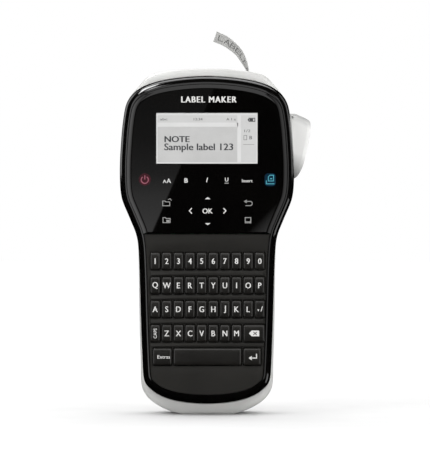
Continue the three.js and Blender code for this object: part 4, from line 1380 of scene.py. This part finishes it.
cas_cuts = ring_cut(-16, 153, 6.0, 0, 17.0, 24) + ring_cut(6, 160, 4.2, 0, 17.0, 24)
cas_cuts.append(loft([(22.3, rrect(-30, 16, 164.5, 183, 1.5, 5)), (24, rrect(-30, 16, 164.5, 183, 1.5, 5))]))
for k in range(7):
    xk = -24 + k * 5.2
    cas_cuts.append(loft([(22.2, rrect(xk - 0.5, xk + 0.5, 123.4, 130.5, 0.45, 3)), (24, rrect(xk - 0.6, xk + 0.6, 123.3, 130.6, 0.5, 3))]))
cs_ = solid_piece("tape_cassette_shell", loft([(5.4, cas), (22.8, cas)]), MAT_CASSETTE, bev=0.5, seg=3, angle=40, cuts=cas_cuts)
ride(cs_, "root", ["tape_cassette"])
lbl = solid_piece("tape_cassette_label", loft([(22.25, rrect(-29.6, 15.6, 164.9, 182.6, 1.3, 5)), (22.45, rrect(-29.6, 15.6, 164.9, 182.6, 1.3, 5))]), MAT_CREAM, bev=0.05)
ride(lbl, "root")
for nm, cx, cz, ro, ri, nt_ in (("supply_reel", -16, 153, 5.6, 3.0, 6), ("ribbon_reel", 6, 160, 3.8, 2.0, 6)):
    outer_c = circ(cx, cz, ro, 48)
    hub = []
    for k in range(96):
        a = 2 * math.pi * k / 96
        rr = ri - (0.75 if (k % 16) < 5 else 0.0)
        hub.append((cx + rr * math.cos(a), cz + rr * math.sin(a)))
    rl = solid_piece(nm, loft([(17.3, outer_c), (21.2, outer_c)]), MAT_GEAR, bev=0.25, seg=2, cuts=[loft([(17.8, np.array(hub)), (23, np.array(hub))])])
    ride(rl, "root")

# ------------------------------------------------------------------ sockets and board
board_loop = chamfered([
    (-30, 16.6), (30, 16.6), (34, 21.6), (34.5, 100), (40, 112), (43, 124), (43, 180),
    (38, 187), (-38, 187), (-43, 180), (-43, 124), (-40, 112), (-34.5, 100), (-34, 21.6),
], 2.0, 3)
bd = solid_piece("main_board", loft([(-18.5, board_loop), (-16.9, board_loop)]), MAT_BOARD, bev=0.1, seg=1)
ride(bd, "root", ["circuit_board"])
parts = []
for x0, x1, z0, z1, h in ((-10, 4, 128, 142, 1.6), (10, 19, 130, 139, 1.4), (-26, -18, 150, 156, 1.2), (-28, -20, 164, 172, 2.6), (12, 26, 152, 158, 1.2), (20, 30, 168, 176, 3.2)):
    parts.append(box_at(x0, x1, -17.0, -16.9 + h, z0, z1))
V, F, M_ = join_parts(parts)
ch = make("board_chips", V, F, MAT_DARKHOLE, smooth=False)
clean(ch)
bevel(ch, 0.2, 2, 40)
ride(ch, "root")


def rr_yz(y0, y1, z0, z1, r, seg=5):
    return rrect(y0, y1, z0, z1, r, seg)


# Data socket: a folded metal shell with a tongue in it.
usb = solid_piece("data_socket_shell", as_axis(loft([(-50.9, rr_yz(-17.3, -13.95, 151.0, 159.2, 0.7)), (-42, rr_yz(-17.3, -13.95, 151.0, 159.2, 0.7))]), "X"), MAT_STEEL,
                  cuts=[as_axis(loft([(-52, rr_yz(-16.95, -14.3, 151.35, 158.85, 0.5)), (-43.2, rr_yz(-16.95, -14.3, 151.35, 158.85, 0.5))]), "X")])
ride(usb, "root")
tg = solid_piece("data_socket_tongue", box_at(-49.4, -42.8, -15.95, -15.25, 152.6, 157.6), MAT_DARKHOLE, bev=0.12)
ride(tg, "root")
parts = [box_at(-49.2, -44.0, -16.02, -15.9, zc - 0.25, zc + 0.25) for zc in (153.3, 154.2, 155.1, 156.0, 156.9)]
V, F, M_ = join_parts(parts)
tc_ = make("data_socket_contacts", V, F, MAT_GOLD, smooth=False)
clean(tc_)
ride(tc_, "root")
# Power socket: a square body with a round mouth and a centre pin.
jk = solid_piece("power_socket_body", as_axis(loft([(-50.8, rr_yz(-17.3, -10.3, 135.0, 143.8, 0.5)), (-40, rr_yz(-17.3, -10.3, 135.0, 143.8, 0.5))]), "X"), MAT_FRAME,
                 cuts=[as_axis(loft([(-52, circ(-13.8, 139.4, 2.95, 40)), (-41.5, circ(-13.8, 139.4, 2.95, 40))]), "X")], bev=0.15)
ride(jk, "root")
pinv = as_axis(loft([(-49.8, circ(-13.8, 139.4, 0.35, 20)), (-49.5, circ(-13.8, 139.4, 0.65, 20)), (-41, circ(-13.8, 139.4, 0.65, 20))]), "X")
pj = make("power_socket_pin", *pinv, MAT_STEEL, angle=40)
clean(pj)
ride(pj, "root")

# ------------------------------------------------------------------ print train
def rolled(name, body, node, cx, cz, parts_, mats, slot):
    V, F, M_ = join_parts(parts_)
    o = make(name, V, F, mats, M_, angle=35)
    clean(o)
    ride(o, body, node)
    return o


pxr, pzr = 29.4, 172.0
roller = [
    (*loft([(5.6, circ(pxr, pzr, 3.6, 64)), (5.9, circ(pxr, pzr, 4.0, 64)), (20.3, circ(pxr, pzr, 4.0, 64)), (20.6, circ(pxr, pzr, 3.6, 64))]), 0),
    (*loft([(-2.9, circ(pxr, pzr, 1.0, 32)), (-2.6, circ(pxr, pzr, 1.3, 32)), (21.1, circ(pxr, pzr, 1.3, 32)), (21.4, circ(pxr, pzr, 1.0, 32))]), 1),
]
V, F, M_ = join_parts(roller)
ro = make("platen_rubber_sleeve", V, F, [MAT_RUBBER, MAT_STEEL], M_, angle=35)
clean(ro)
ride(ro, "platen_roller")
# Heater line of the print head.
hs = solid_piece("print_head_ceramic", box_at(24.55, 24.85, 5.8, 20.2, 168.5, 179.5), MAT_CREAM, bev=0.1)
ride(hs, "root")


# ------------------------------------------------------------------ stage, light, camera
floor_me = bpy.data.meshes.new("floor")
bm = bmesh.new()
bmesh.ops.create_circle(bm, cap_ends=True, segments=128, radius=9.0)
bm.to_mesh(floor_me)
bm.free()
floor = bpy.data.objects.new("studio_floor", floor_me)
scene.collection.objects.link(floor)
m, nt, bs = new_mat("studio_floor")
fn = noise(nt, 30, 2.0)
ftc = nt.nodes.new("ShaderNodeTexCoord")
fln = nt.nodes.new("ShaderNodeVectorMath")
fln.operation = "LENGTH"
nt.links.new(ftc.outputs["Object"], fln.inputs[0])
fmr = nt.nodes.new("ShaderNodeMapRange")
fmr.inputs["From Min"].default_value, fmr.inputs["From Max"].default_value = 0.9, 1.7
nt.links.new(fln.outputs["Value"], fmr.inputs["Value"])
fmx = nt.nodes.new("ShaderNodeMix")
fmx.data_type = "RGBA"
nt.links.new(fmr.outputs["Result"], fmx.inputs[0])
nt.links.new(ramp(nt, fn.outputs["Fac"], 0.3, 0.7, (0.80, 0.80, 0.80), (0.82, 0.82, 0.82)).outputs[0], fmx.inputs[6])
fmx.inputs[7].default_value = (0.88, 0.88, 0.88, 1)
nt.links.new(fmx.outputs[2], bs.inputs["Base Color"])
bs.inputs["Roughness"].default_value = 1.0
bs.inputs["Specular IOR Level"].default_value = 0.0
floor_me.materials.append(m)
floor.visible_glossy = False


def softbox(name, az, el, dist, sx, sy, radiance, target=(0, 0, 0.11), color=(1, 1, 1)):
    """An area light of the given radiance; az is measured from straight ahead towards +X."""
    a, e = math.radians(az), math.radians(el)
    t = Vector(target)
    loc = t + Vector((math.sin(a) * math.cos(e), -math.cos(a) * math.cos(e), math.sin(e))) * dist
    l = bpy.data.lights.new(name, "AREA")
    l.shape, l.size, l.size_y, l.energy, l.color = "RECTANGLE", sx, sy, radiance * math.pi * sx * sy, color
    o = bpy.data.objects.new(name, l)
    scene.collection.objects.link(o)
    o.location = loc
    o.rotation_euler = (t - loc).to_track_quat("-Z", "Y").to_euler()
    return o


dome = bpy.data.lights.new("overhead", "SUN")
dome.energy, dome.angle = 3.7, math.radians(140)
dome_o = bpy.data.objects.new("overhead", dome)
scene.collection.objects.link(dome_o)
dome_o.location = (0, 0, 2)
dome_o.visible_glossy = False
accents = []
softbox("left_front", -50, 26, 1.0, 0.5, 0.85, 1.5)
softbox("right_front", 54, 26, 1.1, 0.3, 0.85, 1.2)
accents.append(softbox("key_right", 50, 40, 1.1, 0.24, 0.30, 14.5))
accents.append(softbox("shoulder", -42, 62, 1.0, 0.2, 0.2, 8))
softbox("back_left", -140, 20, 1.4, 0.5, 0.9, 0.9)
softbox("back_right", 130, 20, 1.4, 0.5, 0.9, 0.6)


# The accent lights leave the floor alone.
no_floor = bpy.data.collections.new("accent_receivers")
no_floor.objects.link(floor)
no_floor.collection_objects[0].light_linking.link_state = "EXCLUDE"
for o in accents:
    o.light_linking.receiver_collection = no_floor


def glow_card(name, az, el0, el1, dist, half, radiance, target=(0, 0, 0.11), fade=None):
    """A card seen only in glossy surfaces, standing at azimuth az between two elevations."""
    t = Vector(target)
    vs = []
    for el in (el0, el1):
        for side in (-1, 1):
            a, e = math.radians(az + side * half), math.radians(el)
            vs.append(tuple(t + Vector((math.sin(a) * math.cos(e), -math.cos(a) * math.cos(e), math.sin(e))) * dist))
    me = bpy.data.meshes.new(name)
    me.from_pydata([vs[0], vs[1], vs[3], vs[2]], [], [(0, 1, 2, 3)])
    o = bpy.data.objects.new(name, me)
    scene.collection.objects.link(o)
    mt = bpy.data.materials.new(name)
    mt.use_nodes = True
    nt = mt.node_tree
    for n in list(nt.nodes):
        nt.nodes.remove(n)
    em = nt.nodes.new("ShaderNodeEmission")
    em.inputs[1].default_value = radiance
    if fade:
        gc = nt.nodes.new("ShaderNodeTexCoord")
        gs = nt.nodes.new("ShaderNodeSeparateXYZ")
        nt.links.new(gc.outputs["Generated"], gs.inputs[0])
        nt.links.new(ramp(nt, gs.outputs["X"], fade[0], fade[1], fade[2], fade[3]).outputs[0], em.inputs[0])
    ou = nt.nodes.new("ShaderNodeOutputMaterial")
    nt.links.new(em.outputs[0], ou.inputs[0])
    me.materials.append(mt)
    o.visible_camera = o.visible_diffuse = o.visible_shadow = False
    return o


glow_card("top_card_back", 180, 42, 66, 1.3, 40, 2.4)
glow_card("top_card_front", 0, 20, 54, 1.25, 34, 1.25)
# A low fill that reaches only the pale shell, under the chin.
fill = softbox("chin_fill", 0, 3, 0.15, 0.14, 0.012, 22, target=(0, -0.012, 0.004))
shell_only = bpy.data.collections.new("chin_fill_receivers")
shell_only.objects.link(rear)
fill.light_linking.receiver_collection = shell_only
fill.visible_glossy = fill.visible_camera = False
glow_card("shoulder_card", -113, 53, 72, 1.3, 20, 15.0)
glow_card("waist_card_right", 112, -34, -12, 1.2, 12, 1.3)
glow_card("side_card_left", -42, -19.5, 47, 0.97, 21, 2.0, fade=(0.45, 1.0, 1.0, 0.05))
glow_card("side_card_right", 45, -19.5, 47, 1.05, 19, 1.0, fade=(0.0, 0.5, 0.05, 1.0))

# The bright card that the glossy panel mirrors: its slanting edge crosses the panel.
CARD_Y = -2.6


def mirrored(x, z):
    """Where the card must be for its edge to show at [x, z] millimetres on the flat panel."""
    k = (1.5 + 0.0066 + (-CARD_Y - 0.0286)) / (1.5 - 0.0066)
    return (0.0048 + (x * MM - 0.0048) * k, CARD_Y, 0.1064 + (z * MM - 0.1064) * k)


card_me = bpy.data.meshes.new("reflection_card")
card_me.from_pydata([mirrored(*q) for q in ((6.5, 199), (-33.8, 105.5), (-70, 60), (-150, 60), (-150, 199))], [], [(0, 1, 2, 3, 4)])
card = bpy.data.objects.new("reflection_card", card_me)
scene.collection.objects.link(card)
cm = bpy.data.materials.new("reflection_card")
cm.use_nodes = True
cnt = cm.node_tree
for n in list(cnt.nodes):
    cnt.nodes.remove(n)
em = cnt.nodes.new("ShaderNodeEmission")
co = cnt.nodes.new("ShaderNodeOutputMaterial")
ctc = cnt.nodes.new("ShaderNodeTexCoord")
csp = cnt.nodes.new("ShaderNodeSeparateXYZ")
cnt.links.new(ctc.outputs["Generated"], csp.inputs[0])
cr = ramp(cnt, csp.outputs["Z"], 0.2, 1.0, 1.0, 0.1)
for pos, val in ((0.36, 0.9), (0.50, 0.62), (0.60, 0.3), (0.75, 0.16)):
    e = cr.color_ramp.elements.new(pos)
    e.color = (val, val, val, 1)
cnt.links.new(cr.outputs[0], em.inputs[0])
em.inputs[1].default_value = 1.0
cnt.links.new(em.outputs[0], co.inputs[0])
card_me.materials.append(cm)

card2_me = bpy.data.meshes.new("reflection_card_right")
card2_me.from_pydata([mirrored(*q) for q in ((12, 97), (48, 97), (48, 133), (12, 133))], [], [(0, 1, 2, 3)])
card2 = bpy.data.objects.new("reflection_card_right", card2_me)
scene.collection.objects.link(card2)
cm = bpy.data.materials.new("reflection_card_right")
cm.use_nodes = True
cnt = cm.node_tree
for n in list(cnt.nodes):
    cnt.nodes.remove(n)
em = cnt.nodes.new("ShaderNodeEmission")
co = cnt.nodes.new("ShaderNodeOutputMaterial")
ctc = cnt.nodes.new("ShaderNodeTexCoord")
csp = cnt.nodes.new("ShaderNodeSeparateXYZ")
cnt.links.new(ctc.outputs["Generated"], csp.inputs[0])
sub = cnt.nodes.new("ShaderNodeMath")
sub.operation = "SUBTRACT"
cnt.links.new(csp.outputs["X"], sub.inputs[0])
cnt.links.new(csp.outputs["Z"], sub.inputs[1])
cr = ramp(cnt, sub.outputs[0], 0.0, 0.55, 0.0, 1.0)
cr.color_ramp.elements[0].position = 0.0
e = cr.color_ramp.elements.new(0.25)
e.color = (0.35, 0.35, 0.35, 1)
cnt.links.new(cr.outputs[0], em.inputs[0])
em.inputs[1].default_value = 1.7
cnt.links.new(em.outputs[0], co.inputs[0])
card2_me.materials.append(cm)

# The white surroundings are seen only directly; the device is lit and mirrored by the softboxes and cards.
w = bpy.data.worlds.new("studio")
scene.world = w
w.use_nodes = True
w.node_tree.nodes["Background"].inputs[0].default_value = (1, 1, 1, 1)
w.node_tree.nodes["Background"].inputs[1].default_value = 1.0
w.cycles_visibility.diffuse = False
w.cycles_visibility.glossy = False

DIST = 1.5
cam_d = bpy.data.cameras.new("camera")
cam = bpy.data.objects.new("camera", cam_d)
scene.collection.objects.link(cam)
scene.camera = cam
cam_d.sensor_width = 36.0
cam_d.lens = 36.0 * DIST / 0.28144
cam_d.clip_start, cam_d.clip_end = 0.05, 50
cam.location = (0.0048, -0.022 - DIST, 0.1064)
cam.rotation_euler = (math.radians(90), 0, 0)

scene.view_settings.view_transform = "Standard"
scene.view_settings.look = "None"
